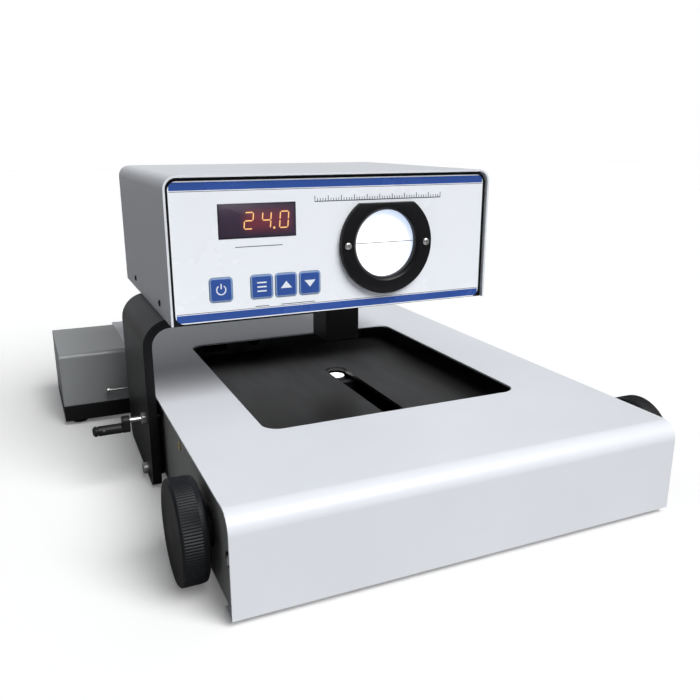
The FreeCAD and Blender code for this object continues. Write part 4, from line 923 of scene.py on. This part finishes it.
def pan_screw(radius, height, shank, reach, material):
    """A screw about the origin whose cross-recessed head faces +Z."""
    profile = [(-reach, shank * 0.7), (-reach + 0.5 * MM, shank), (0.0, shank), (0.0, radius),
               (height * 0.45, radius), (height * 0.8, radius * 0.86), (height, radius * 0.62)]
    screw = lofted("screw_master", [circle_loop(r, z, 36) for z, r in profile], material)
    arm, end, depth = radius * 0.16, radius * 0.56, height * 0.55
    cross = [(arm, arm), (arm, end), (-arm, end), (-arm, arm), (-end, arm), (-end, -arm),
             (-arm, -arm), (-arm, -end), (arm, -end), (arm, -arm), (end, -arm), (end, arm)]
    rings = [[Vector((x * size, y * size, z)) for x, y in cross]
             for z, size in ((height - depth, 0.72), (height + depth, 1.0))]
    return carved(screw, lofted("cross", rings, material, None))


def socket_screw(radius, height, shank, reach, material):
    """A cap screw about the origin whose hexagon socket faces +Z."""
    profile = [(-reach, shank * 0.8), (-reach + 0.6 * MM, shank), (0.0, shank), (0.0, radius),
               (height * 0.82, radius), (height * 0.95, radius * 0.95), (height, radius * 0.86)]
    screw = lofted("cap_master", [circle_loop(r, z, 48) for z, r in profile], material)
    rings = [circle_loop(radius * 0.55, z, 6) for z in (height * 0.45, height * 1.2)]
    return carved(screw, lofted("hexagon", rings, material, None))


def solids_of(node):
    """Boxes of a node's separate solids, as (low, high) corners."""
    work = welded(node)
    left = set(work.verts)
    boxes = []
    while left:
        stack = [left.pop()]
        points = []
        while stack:
            vert = stack.pop()
            points.append(vert.co.copy())
            for edge in vert.link_edges:
                other = edge.other_vert(vert)
                if other in left:
                    left.remove(other)
                    stack.append(other)
        boxes.append((Vector([min(p[i] for p in points) for i in range(3)]),
                      Vector([max(p[i] for p in points) for i in range(3)])))
    work.free()
    return sorted(boxes, key=lambda pair: tuple(pair[0]))


class READER_OT_fasteners(bpy.types.Operator):
    """Turn every screw, bolt, post and pin, with recesses, and a black ring of painted shade round each
    bright front screw
    """
    bl_idname = "reader.fasteners"
    bl_label = "Screws and bolts"

    HEAD_TALL = 1.4 * MM
    SHANK = 1.45 * MM
    SCREW_LENGTH = 8.2 * MM
    FRONT_ZONE = 60 * MM
    KINDS = {"bright": (3.0 * MM, 6.9 * MM, steel_finish), "zinc": (3.2 * MM, 6.9 * MM, zinc_finish),
             "box": (2.3 * MM, 6.4 * MM, steel_finish)}

    def execute(self, context):
        self.base_screws()
        self.head_screws()
        self.arm_bolts()
        return {"FINISHED"}

    def base_screws(self):
        spots = {kind: [] for kind in self.KINDS}
        pieces = []
        for low, high in solids_of("base_screws"):
            centre = (low + high) / 2
            length, thick = high.x - low.x, high.z - low.z
            way = -1 if centre.x < SCREEN.x else 1
            face = Vector((low.x if way < 0 else high.x, centre.y, centre.z))
            seat = face - Vector((way * self.HEAD_TALL, 0, 0))
            if length > 3 * thick:
                pieces.append(self.thumb_pin(low, length, thick / 2, centre))
                continue
            front = centre.y < CAD_BOUNDS[0][1] + self.FRONT_ZONE
            kind = "box" if length < self.SCREW_LENGTH else "bright" if front else "zinc"
            spots[kind].append((seat, (way, 0, 0)))
            # Painted shade: bright front screws get a black ring for the shade in their dimples.
            if kind == "bright":
                pieces.append(self.washer(seat, way))
        for kind, (radius, reach, finish_for) in self.KINDS.items():
            master = pan_screw(radius, self.HEAD_TALL, self.SHANK, reach, finish_for())
            pieces.append(repeated(kind + "_screws", master, spots[kind], finish_for()))
        stand_for(joined("base_screws_turned", pieces), "base_screws")

    def washer(self, seat, way):
        # Painted shade: a black ring round a bright front screw stands in for the shade in its dimple.
        hole, rim, thick = 1.6 * MM, 4.7 * MM, 0.45 * MM
        ring = [(0.0, hole), (0.0, rim), (thick - 0.1 * MM, rim - 0.2 * MM), (thick, 3.4 * MM), (thick, hole)]
        return lathe("washer", seat, (way, 0, 0), ring, plastic_finish(), steps=48)

    def thumb_pin(self, low, length, head, centre):
        pin = head / 2
        profile = [(0.0, 0.0), (0.0, head * 0.7), (0.4 * MM, head), (2.6 * MM, head), (3.0 * MM, pin * 1.1),
                   (3.2 * MM, pin), (length, pin), (length, 0.0)]
        return lathe("thumb_pin", (low.x, centre.y, centre.z), (1, 0, 0), profile, steel_finish(), steps=32)

    def head_screws(self):
        tall = 1.2 * MM
        bezel_least, side_least = 8.5 * MM, 5.5 * MM
        bezel, sides, pieces = [], [], []
        for low, high in solids_of("head_screws"):
            centre = (low + high) / 2
            size = high - low
            if size.y > bezel_least:
                bezel.append((Vector((centre.x, low.y + tall, centre.z)), (0, -1, 0)))
            elif size.x > side_least:
                way = -1 if centre.x < SCREEN.x - 50 * MM else 1
                edge = low.x if way < 0 else high.x
                sides.append((Vector((edge - way * tall, centre.y, centre.z)), (way, 0, 0)))
            else:
                pieces.append(self.post(low, size.y, centre))
        face_screw = pan_screw(2.6 * MM, tall, self.SHANK, 7.9 * MM, steel_finish())
        side_screw = pan_screw(2.4 * MM, tall * 0.8, self.SHANK, 4.9 * MM, plastic_finish())
        pieces.append(repeated("bezel_screws", face_screw, bezel, steel_finish()))
        pieces.append(repeated("side_screws", side_screw, sides, plastic_finish()))
        stand_for(joined("head_screws_turned", pieces), "head_screws")

    def post(self, low, length, centre):
        radius, lead = 2.5 * MM, 0.4 * MM
        profile = [(0.0, 0.0), (0.0, radius - lead), (lead, radius), (length - lead, radius),
                   (length, radius - lead), (length, 0.0)]
        return lathe("post", (centre.x, low.y, centre.z), (0, 1, 0), profile, steel_finish(), steps=6,
                     smooth_angle=20)

    def arm_bolts(self):
        spare = 0.05 * MM
        cap, head, shank = 3.6 * MM, 4.4 * MM, 3.0 * MM
        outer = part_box("head_arm")[0].x
        steel = steel_finish()
        spots, reaches = {"foot": [], "inside": [], "flange": []}, {}
        for low, high in solids_of("arm_bolts"):
            centre = (low + high) / 2
            if high.z - low.z > high.x - low.x:
                kind, seat, facing = "flange", Vector((centre.x, centre.y, low.z + cap)), (0, 0, -1)
            elif low.x < outer:
                kind, seat, facing = "foot", Vector((low.x + cap, centre.y, centre.z)), (-1, 0, 0)
            else:
                kind, seat, facing = "inside", Vector((high.x - cap, centre.y, centre.z)), (1, 0, 0)
            spots[kind].append((seat, facing))
            reaches[kind] = max(high - low) - cap
        pieces = []
        for kind, places in spots.items():
            bolt = socket_screw(head - spare, cap - spare, shank - spare, reaches[kind], steel)
            pieces.append(repeated(kind, bolt, places, steel))
        stand_for(joined("arm_bolts_turned", pieces), "arm_bolts")


class READER_OT_crank(bpy.types.Operator):
    """Turn the crank's handle, with its ringed end and set screw, and its bright shaft"""
    bl_idname = "reader.crank"
    bl_label = "Crank"

    def execute(self, context):
        low, high, centre = extent("crank_handle")
        length = high.x - low.x
        radius = (high.z - low.z) / 2
        profile = [(0.0, 0.0), (0.0, radius * 0.62), (0.25 * MM, radius * 0.7), (0.5 * MM, radius * 0.72),
                   (0.9 * MM, radius * 0.93), (1.4 * MM, radius), (3.0 * MM, radius),
                   (3.3 * MM, radius * 0.86), (3.9 * MM, radius * 0.86), (4.2 * MM, radius),
                   (length * 0.7, radius * 0.985), (length - 0.6 * MM, radius), (length, radius * 0.9),
                   (length, 0.0)]
        handle = lathe("crank_handle_turned", (low.x, centre.y, centre.z), (1, 0, 0), profile,
                       plastic_finish(), steps=64)
        stand_for(handle, "crank_handle")
        seat = (low.x + 7.5 * MM, centre.y - radius + 0.15 * MM, centre.z + 0.4 * MM)
        cup = [(0.0, 0.9 * MM), (0.05 * MM, 0.9 * MM), (0.12 * MM, 0.7 * MM), (0.02 * MM, 0.45 * MM),
               (0.02 * MM, 0.0)]
        dot = lathe("crank_set_screw", seat, (0, -1, 0), cup, steel_finish(), steps=24)
        add_to(dot, "crank_handle")
        self.shaft()
        return {"FINISHED"}

    def shaft(self):
        """Bright as far as the nut; where it runs on behind the arm it is black enamel, painted shade for the
        shadow in the gap behind the arm.
        """
        low, high, centre = extent("crank_shaft")
        radius, lead = (high.z - low.z) / 2, 0.4 * MM
        bright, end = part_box("crank_nut")[1].x - low.x, high.x - low.x
        outer = [(0.0, 0.0), (0.0, radius * 0.8), (lead, radius), (bright, radius), (bright, 0.0)]
        inner = [(bright, 0.0), (bright, radius), (end - lead, radius), (end, radius * 0.8), (end, 0.0)]
        # Painted shade: the part behind the arm gets black enamel for the shade there.
        pieces = [lathe(name, (low.x, centre.y, centre.z), (1, 0, 0), profile, material, steps=40)
                  for name, profile, material in (("crank_bright", outer, steel_finish()),
                                                  ("crank_dark", inner, enamel_finish()))]
        stand_for(joined("crank_shaft_turned", pieces), "crank_shaft")


class READER_OT_panel_print(bpy.types.Operator):
    """Print the panel's rules, scale and key marks"""
    bl_idname = "reader.panel_print"
    bl_label = "Panel print"

    def execute(self, context):
        face = PANEL_LOW.y - 0.05 * MM

        def bar(name, x, z, width, height):
            return panel_solid(name, Vector((x + width / 2, 0, z + height / 2)), width, height, 0.1 * MM,
                               [(face + 0.06 * MM, 0.0), (face, 0.0)], ink_finish())

        scale_left, scale_length, thin = SCREEN.x - 55.5 * MM, 101.5 * MM, 0.5 * MM
        scale_z = SCREEN.z + 32 * MM
        mode, up, down = middle("mode_key"), middle("up_key"), middle("down_key")
        under_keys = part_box("up_key")[0].z - 4.4 * MM
        marks = [bar("title_rule", scale_left, scale_z, scale_length, 0.6 * MM),
                 bar("display_rule", WINDOW_MIDDLE.x - 16.5 * MM, WINDOW_LOW.z - 6 * MM, 34 * MM, thin),
                 bar("mode_rule", mode.x - 5 * MM, under_keys, 10 * MM, thin),
                 bar("step_rule", up.x - 4 * MM, under_keys, down.x - up.x + 8 * MM, thin)]
        steps, every = 50, 5
        ticks = {"short": [], "tall": []}
        for step in range(steps + 1):
            kind, rise = ("short", 1.5 * MM) if step % every else ("tall", 2.35 * MM)
            place = Vector((scale_left + step * scale_length / steps, face + 0.03 * MM, scale_z + rise))
            ticks[kind].append((place, (0, -1, 0)))
        for kind, size in (("short", (0.42, 2.0)), ("tall", (0.483, 3.7))):
            marks.append(repeated(kind + "_ticks", self.tick(*size), ticks[kind], ink_finish()))
        add_to(joined("panel_marks", marks), "panel_overlay")
        return {"FINISHED"}

    def tick(self, width, length):
        """One mark of the scale about the origin, in millimetres."""
        mesh = bpy.data.meshes.new("tick_master")
        work = bmesh.new()
        made = bmesh.ops.create_cube(work, size=1.0)["verts"]
        bmesh.ops.scale(work, verts=made, vec=(width * MM, length * MM, 0.06 * MM))
        work.to_mesh(mesh)
        work.free()
        return new_object("tick_master", mesh)


SEGMENTS = {"0": "abcdef", "1": "bc", "2": "abged", "3": "abgcd", "4": "fgbc", "5": "afgcd", "6": "afgedc",
            "7": "abc", "8": "abcdefg", "9": "abcdfg", " ": ""}


class READER_OT_display(bpy.types.Operator):
    """Light the digits behind the smoked window"""
    bl_idname = "reader.display"
    bl_label = "Display"

    def execute(self, context):
        show = settings("display")
        front = WINDOW_LOW.y
        glass = panel_solid("display_window_glass", WINDOW_MIDDLE, WINDOW_HIGH.x - WINDOW_LOW.x - 0.1 * MM,
                            WINDOW_HIGH.z - WINDOW_LOW.z - 0.1 * MM, 0.5 * MM,
                            [(WINDOW_HIGH.y, 0.0), (front - 0.12 * MM, 0.0), (front - 0.2 * MM, 0.12 * MM)],
                            window_finish())
        stand_for(glass, "display_window")
        face = front - 0.22 * MM
        width, height, bar = show.digit_width, show.digit_height, show.bar_width
        middle_z = WINDOW_MIDDLE.z
        right, top = width / 2 - bar / 2, height / 2 - bar / 2
        ends = {"a": ((-right, top), (right, top)), "b": ((right, top), (right, 0)),
                "c": ((right, 0), (right, -top)), "d": ((-right, -top), (right, -top)),
                "e": ((-right, 0), (-right, -top)), "f": ((-right, top), (-right, 0)),
                "g": ((-right, 0), (right, 0))}
        core = ([], glowing("digit core", show.core, 1.25))
        glow = ([], glowing("digit glow", show.glow, 0.95))
        modules = iter([(low + high) / 2 for low, high in solids_of("digit_modules")])
        for letter in show.reading:
            if letter == ".":
                x, z = spot.x + width * 0.72, middle_z - height / 2 + bar * 0.6
                for (group, material), share, sunk in ((core, 0.62, 0.06), (glow, 0.9, 0.14)):
                    group.append(lathe("point", (x, face + sunk * MM, z), (0, -1, 0),
                                       [(0.0, bar * share), (0.05 * MM, bar * share)], material, steps=20))
                continue
            spot = next(modules)
            for name in SEGMENTS[letter]:
                for (group, material), share, sunk in ((core, 0.62, 0.0), (glow, 1.25, 0.07)):
                    piece = self.flat_bar(*ends[name], bar * share, face + sunk * MM, material)
                    piece.data.transform(Matrix.Translation((spot.x, 0, middle_z)))
                    group.append(piece)
        add_to(joined("digit_cores", core[0]), "display_window")
        add_to(joined("digit_glows", glow[0]), "display_window")
        return {"FINISHED"}

    def flat_bar(self, start, end, thick, y, material):
        """One lit bar with pointed ends, leaning to the right."""
        lean, gap, depth = 0.09, 0.28 * MM, 0.05 * MM
        first, last = Vector(start), Vector(end)
        along = (last - first).normalized()
        side = Vector((-along.y, along.x)) * thick / 2
        nose = along * thick / 2
        first, last = first + along * gap, last - along * gap
        outline = [first, first + nose + side, last - nose + side, last, last - nose - side,
                   first + nose - side]
        loops = [[Vector((p.x + p.y * lean, level, p.y)) for p in outline] for level in (y + depth, y)]
        return lofted("bar", loops, material, None)


MARK_DEPTH = 0.09 * MM


def mark_loops(centre, y, points):
    """Back and front outline of a flat mark, from points in millimetres."""
    return [[Vector((centre.x + u * MM, level, centre.z + v * MM)) for u, v in points]
            for level in (y + MARK_DEPTH, y)]


def flat_symbol(name, centre, y, points, material):
    return lofted(name, mark_loops(centre, y, points), material, None)


def ring_symbol(centre, y, radius, width, start, sweep, material):
    """Part of a flat ring, for the power mark."""
    steps = 28
    angles = [start + sweep * step / steps for step in range(steps + 1)]
    points = [(radius * math.cos(angle), radius * math.sin(angle)) for angle in angles]
    inside = radius - width
    points += [(inside * math.cos(angle), inside * math.sin(angle)) for angle in reversed(angles)]
    count = len(points)
    back, front = mark_loops(centre, y, points)
    faces = [(k, (k + 1) % count, count + (k + 1) % count, count + k) for k in range(count)]
    for k in range(steps):
        inner = count - 1 - k
        for shift in (0, count):
            faces.append((shift + k, shift + k + 1, shift + inner - 1, shift + inner))
    return from_faces("ring", back + front, faces, material)


class READER_OT_keys(bpy.types.Operator):
    """Shape the four keys: a pale frame, a crowned blue cap and a white mark"""
    bl_idname = "reader.keys"
    bl_label = "Keys"

    def execute(self, context):
        border, lip = settings("panel").key_border, 0.8 * MM
        for node in ("power_key", "mode_key", "up_key", "down_key"):
            low, high, centre = extent(node)
            width, height = high.x - low.x - 2 * lip, high.z - low.z - 3 * lip
            front, back = low.y, high.y
            plates = [
                panel_solid(node + "_frame", centre, width, height, 2.0 * MM,
                            [(back - 1.2 * MM, 0.0), (front + 0.45 * MM, 0.0), (front + 0.2 * MM, 0.1 * MM),
                             (front + 0.12 * MM, 0.3 * MM)], key_frame_finish()),
                panel_solid(node + "_cap", centre, width - 2 * border, height - 2 * border, 1.4 * MM,
                            [(front + 0.4 * MM, 0.0), (front + 0.1 * MM, 0.05 * MM),
                             (front + 0.02 * MM, 0.25 * MM), (front, 0.7 * MM)], key_finish()),
                panel_solid(node + "_flange", centre, high.x - low.x, high.z - low.z, 0.5 * MM,
                            [(back, 0.1 * MM), (back - 1.15 * MM, 0.1 * MM)], plastic_finish())]
            stand_for(joined(node + "_moulded", plates + self.marks(node, centre, front - 0.06 * MM)), node)
        return {"FINISHED"}

    def marks(self, node, centre, y):
        """The white mark of a key: an arrow, a power sign or three bars."""
        white = white_ink_finish()
        if node == "up_key":
            return [flat_symbol("up", centre, y, [(-4.2, -2.2), (4.2, -2.2), (0, 2.8)], white)]
        if node == "down_key":
            return [flat_symbol("down", centre, y, [(-4.2, 2.2), (0, -2.8), (4.2, 2.2)], white)]
        if node == "power_key":
            stroke = [(-0.4, 0.6), (0.4, 0.6), (0.4, 4.3), (-0.4, 4.3)]
            return [ring_symbol(centre, y, 3.6, 0.8, math.radians(125), math.radians(290), white),
                    flat_symbol("power", centre, y, stroke, white)]
        half, thick, pitch = 3.4, 0.5, 3.0
        return [flat_symbol("mode", centre, y, [(-half, level - thick), (half, level - thick),
                                                (half, level + thick), (-half, level + thick)], white)
                for level in (pitch, 0.0, -pitch)]


class READER_OT_screen(bpy.types.Operator):
    """Shape the screen's bezel with its flat top and bevelled opening, whose size is read from the hairline
    """
    bl_idname = "reader.screen"
    bl_label = "Screen"

    def execute(self, context):
        low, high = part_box("screen_bezel")
        front, back = low.y, high.y
        radius = (high.x - low.x) / 2
        flat = high.z - SCREEN.z
        opening = SCREEN.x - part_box("hairline")[0].x
        edge, uncut = 0.5 * MM, 99.0
        profile = [(back, opening, uncut), (front + 2.4 * MM, opening, uncut),
                   (front + 2.0 * MM, opening + 0.2 * MM, uncut),
                   (front + 0.3 * MM, opening + 2.0 * MM, uncut),
                   (front, opening + 2.5 * MM, uncut), (front, radius - 1.2 * edge, flat - 1.2 * edge),
                   (front + 0.15 * MM, radius - 0.4 * edge, flat - 0.4 * edge), (front + edge, radius, flat),
                   (back, radius, flat), (back, opening, uncut)]
        loops = [[Vector((SCREEN.x + x, y, SCREEN.z + z)) for x, z in self.outline(size, chord)]
                 for y, size, chord in profile]
        bezel = lofted("screen_bezel_turned", loops, enamel_finish(), 30, caps=False)
        stand_for(bezel, "screen_bezel")
        return {"FINISHED"}

    def outline(self, size, chord):
        """A circle about the screen's centre, cut off straight at the chord's height."""
        steps, spread = 144, 1.15
        points = []
        for step in range(steps):
            angle = 2 * math.pi * step / steps
            x, z = size * math.cos(angle), size * math.sin(angle)
            if z > chord:
                half = math.sqrt(size * size - chord * chord)
                x, z = max(-half, min(half, x * spread)), chord
            points.append((x, z))
        return points


class READER_OT_optics(bpy.types.Operator):
    """Light the condenser lens under the tray's slot"""
    bl_idname = "reader.optics"
    bl_label = "Condenser"

    def execute(self, context):
        low, high, centre = extent("condenser_lens")
        radius, rise = (high.x - low.x) / 2, high.z - low.z
        wall, dome, steps = 0.45, 0.55, 12
        profile = [(0.0, 0.0), (0.0, radius)]
        for step in range(steps):
            angle = math.pi / 2 * step / steps
            profile.append((rise * (wall + dome * math.sin(angle)), radius * math.cos(angle)))
        profile.append((rise * (wall + dome), 0.0))
        # Painted shade: the clear condenser glass gets a near-black colour for the dark well under it.
        lens = lathe("condenser_dome", (centre.x, centre.y, low.z), (0, 0, 1), profile, shaded_lens_finish(),
                     steps=64)
        stand_for(lens, "condenser_lens")
        glow, thick = 7.6 * MM, 0.36 * MM
        pill = [(0.0, 0.0), (0.0, glow - 0.4 * MM), (0.12 * MM, glow), (0.3 * MM, glow - 0.4 * MM),
                (thick, 0.0)]
        spot = lathe("condenser_spot", (centre.x, centre.y, high.z + 0.05 * MM), (0, 0, 1), pill,
                     lamp_glow_finish(), steps=48)
        add_to(spot, "condenser_lens")
        return {"FINISHED"}


class READER_OT_rear_fittings(bpy.types.Operator):
    """Detail the inlet, the mains switch and the fuse cap"""
    bl_idname = "reader.rear_fittings"
    bl_label = "Rear fittings"

    def execute(self, context):
        for node, width in (("power_inlet", 0.5), ("mains_switch", 0.5), ("rocker", 0.6)):
            stand_for(softened(node, node + "_moulded", plastic_finish(), width * MM), node)
        low, high, centre = extent("fuse_cap")
        radius = (high.x - low.x) / 2
        tall, flutes, flute_depth = 5.6 * MM, 18, 0.35 * MM

        def grips(angle, distance, here):
            inside = 2.4 * MM < distance < 5.2 * MM
            return -flute_depth * (0.5 - 0.5 * math.cos(flutes * angle)) if inside else 0.0

        profile = [(-24 * MM, 0.0), (-24 * MM, 5.9 * MM), (0.0, 5.9 * MM), (0.0, radius), (1.6 * MM, radius),
                   (2.0 * MM, radius - 0.5 * MM), (2.1 * MM, 6.5 * MM), (2.5 * MM, 6.5 * MM),
                   (5.0 * MM, 6.3 * MM), (5.4 * MM, 5.9 * MM), (tall, 5.2 * MM), (tall, 0.8 * MM),
                   (tall, 0.0)]
        cap = lathe("fuse_cap_moulded", (centre.x, high.y - tall, centre.z), (0, 1, 0), profile,
                    plastic_finish(), steps=flutes * 8, ripple=grips)
        stand_for(cap, "fuse_cap")
        return {"FINISHED"}


class READER_OT_stage(bpy.types.Operator):
    """Set the floor, the soft lights and the camera"""
    bl_idname = "reader.stage"
    bl_label = "Stage"

    LIGHT_FROM = (0.30, -0.62, 0.73)
    EYE = (-0.2169, -0.5585, 0.2508)
    LENS = 37.97
    SENSOR = 36.0
    TURNED, TIPPED_DOWN = 0.4238, 0.2796
    FLOOR_REACH = 6.0

    def execute(self, context):
        scene = bpy.context.scene
        scene.view_settings.view_transform = "Standard"
        self.floor(settings("stage"))
        scene.world = self.surroundings(settings("stage"))
        self.main_light(settings("stage"))
        scene.camera = self.camera()
        return {"FINISHED"}

    def floor(self, stage):
        """A pale floor, darker in the light that it throws up than where it is seen."""
        def fill(tree, shader):
            tone = noise_node(tree, texture_space(tree), 3.0, 2.0)
            seen = mixed(tree, tone, [stage.floor_seen * 0.985] * 3, [stage.floor_seen] * 3)
            direct = tree.nodes.new("ShaderNodeLightPath").outputs["Is Camera Ray"]
            feed_all(tree, shader, Base_Color=mixed(tree, direct, [stage.floor_cast] * 3, seen),
                     Emission_Color=mixed(tree, direct, [0.0] * 3, [0.12] * 3), Emission_Strength=1.0,
                     Roughness=0.9, Specular_IOR_Level=0.0)

        reach = self.FLOOR_REACH
        mesh = bpy.data.meshes.new("floor")
        corners = [(-reach, -reach, 0), (reach, -reach, 0), (reach, reach, 0), (-reach, reach, 0)]
        mesh.from_pydata(corners, [], [(0, 1, 2, 3)])
        mesh.materials.append(material_from("pale floor", fill))
        new_object("floor", mesh)

    def surroundings(self, stage):
        """White where the camera sees it, a dim sky for the light, and a pale wall behind in reflections."""
        world = bpy.data.worlds.new("surroundings")
        world.use_nodes = True
        tree = world.node_tree
        sky, seen = tree.nodes["Background"], tree.nodes.new("ShaderNodeBackground")
        rays, choose = tree.nodes.new("ShaderNodeLightPath"), tree.nodes.new("ShaderNodeMixShader")
        parts = tree.nodes.new("ShaderNodeSeparateXYZ")
        feed(tree, parts.inputs[0], tree.nodes.new("ShaderNodeTexCoord").outputs["Generated"])
        wall = times(tree, ramp(tree, parts.outputs["Y"], 0.55, 3.0), rays.outputs["Is Glossy Ray"])
        feed_all(tree, sky, Color=(0.95, 0.97, 1.0),
                 Strength=plus(tree, times(tree, wall, stage.backdrop), stage.sky))
        feed_all(tree, seen, Color=(1.0, 1.0, 1.0), Strength=1.0)
        sources = (rays.outputs["Is Camera Ray"], sky.outputs[0], seen.outputs[0])
        for socket, source in zip(choose.inputs, sources):
            feed(tree, socket, source)
        feed_all(tree, tree.nodes["World Output"], Surface=choose.outputs[0])
        return world

    def main_light(self, stage):
        lamp = bpy.data.lights.new("main light", "SUN")
        lamp.energy = stage.sun
        lamp.angle = stage.sun_spread
        sun = new_object("main light", lamp)
        sun.rotation_euler = Vector(self.LIGHT_FROM).to_track_quat("Z", "Y").to_euler()

    def camera(self):
        camera = bpy.data.cameras.new("camera")
        camera.lens = self.LENS
        camera.sensor_width = self.SENSOR
        camera.clip_start = 0.01
        eye = new_object("camera", camera)
        eye.location = Vector(self.EYE)
        turned, level, drop = self.TURNED, math.cos(self.TIPPED_DOWN), math.sin(self.TIPPED_DOWN)
        look = Vector((math.sin(turned) * level, math.cos(turned) * level, -drop))
        eye.rotation_euler = look.to_track_quat("-Z", "Y").to_euler()
        return eye


class READER_PT_panel(bpy.types.Panel):
    bl_label = "Zone reader"
    bl_idname = "READER_PT_panel"
    bl_space_type = "VIEW_3D"
    bl_region_type = "UI"
    bl_category = "Reader"

    def draw(self, context):
        column = self.layout.column(align=True)
        for operator in OPERATORS:
            column.operator(operator.bl_idname)


SETTINGS = {"paint": PaintSettings, "knob": KnobSettings, "panel": PanelSettings, "display": DisplaySettings,
            "stage": StageSettings}
OPERATORS = (READER_OT_frame_finish, READER_OT_sheet_metal, READER_OT_knobs, READER_OT_fasteners,
             READER_OT_crank, READER_OT_panel_print, READER_OT_display, READER_OT_keys, READER_OT_screen,
             READER_OT_optics, READER_OT_rear_fittings, READER_OT_stage)
CLASSES = tuple(SETTINGS.values()) + OPERATORS + (READER_PT_panel,)


def register():
    for item in CLASSES:
        bpy.utils.register_class(item)
    for name, kind in SETTINGS.items():
        setattr(bpy.types.Scene, "reader_" + name, PointerProperty(type=kind))


def unregister():
    for name in SETTINGS:
        delattr(bpy.types.Scene, "reader_" + name)
    for item in reversed(CLASSES):
        bpy.utils.unregister_class(item)


def main():
    register()
    for operator in OPERATORS:
        _, name = operator.bl_idname.split(".")
        getattr(bpy.ops.reader, name)()


if __name__ == "__main__":
    main()
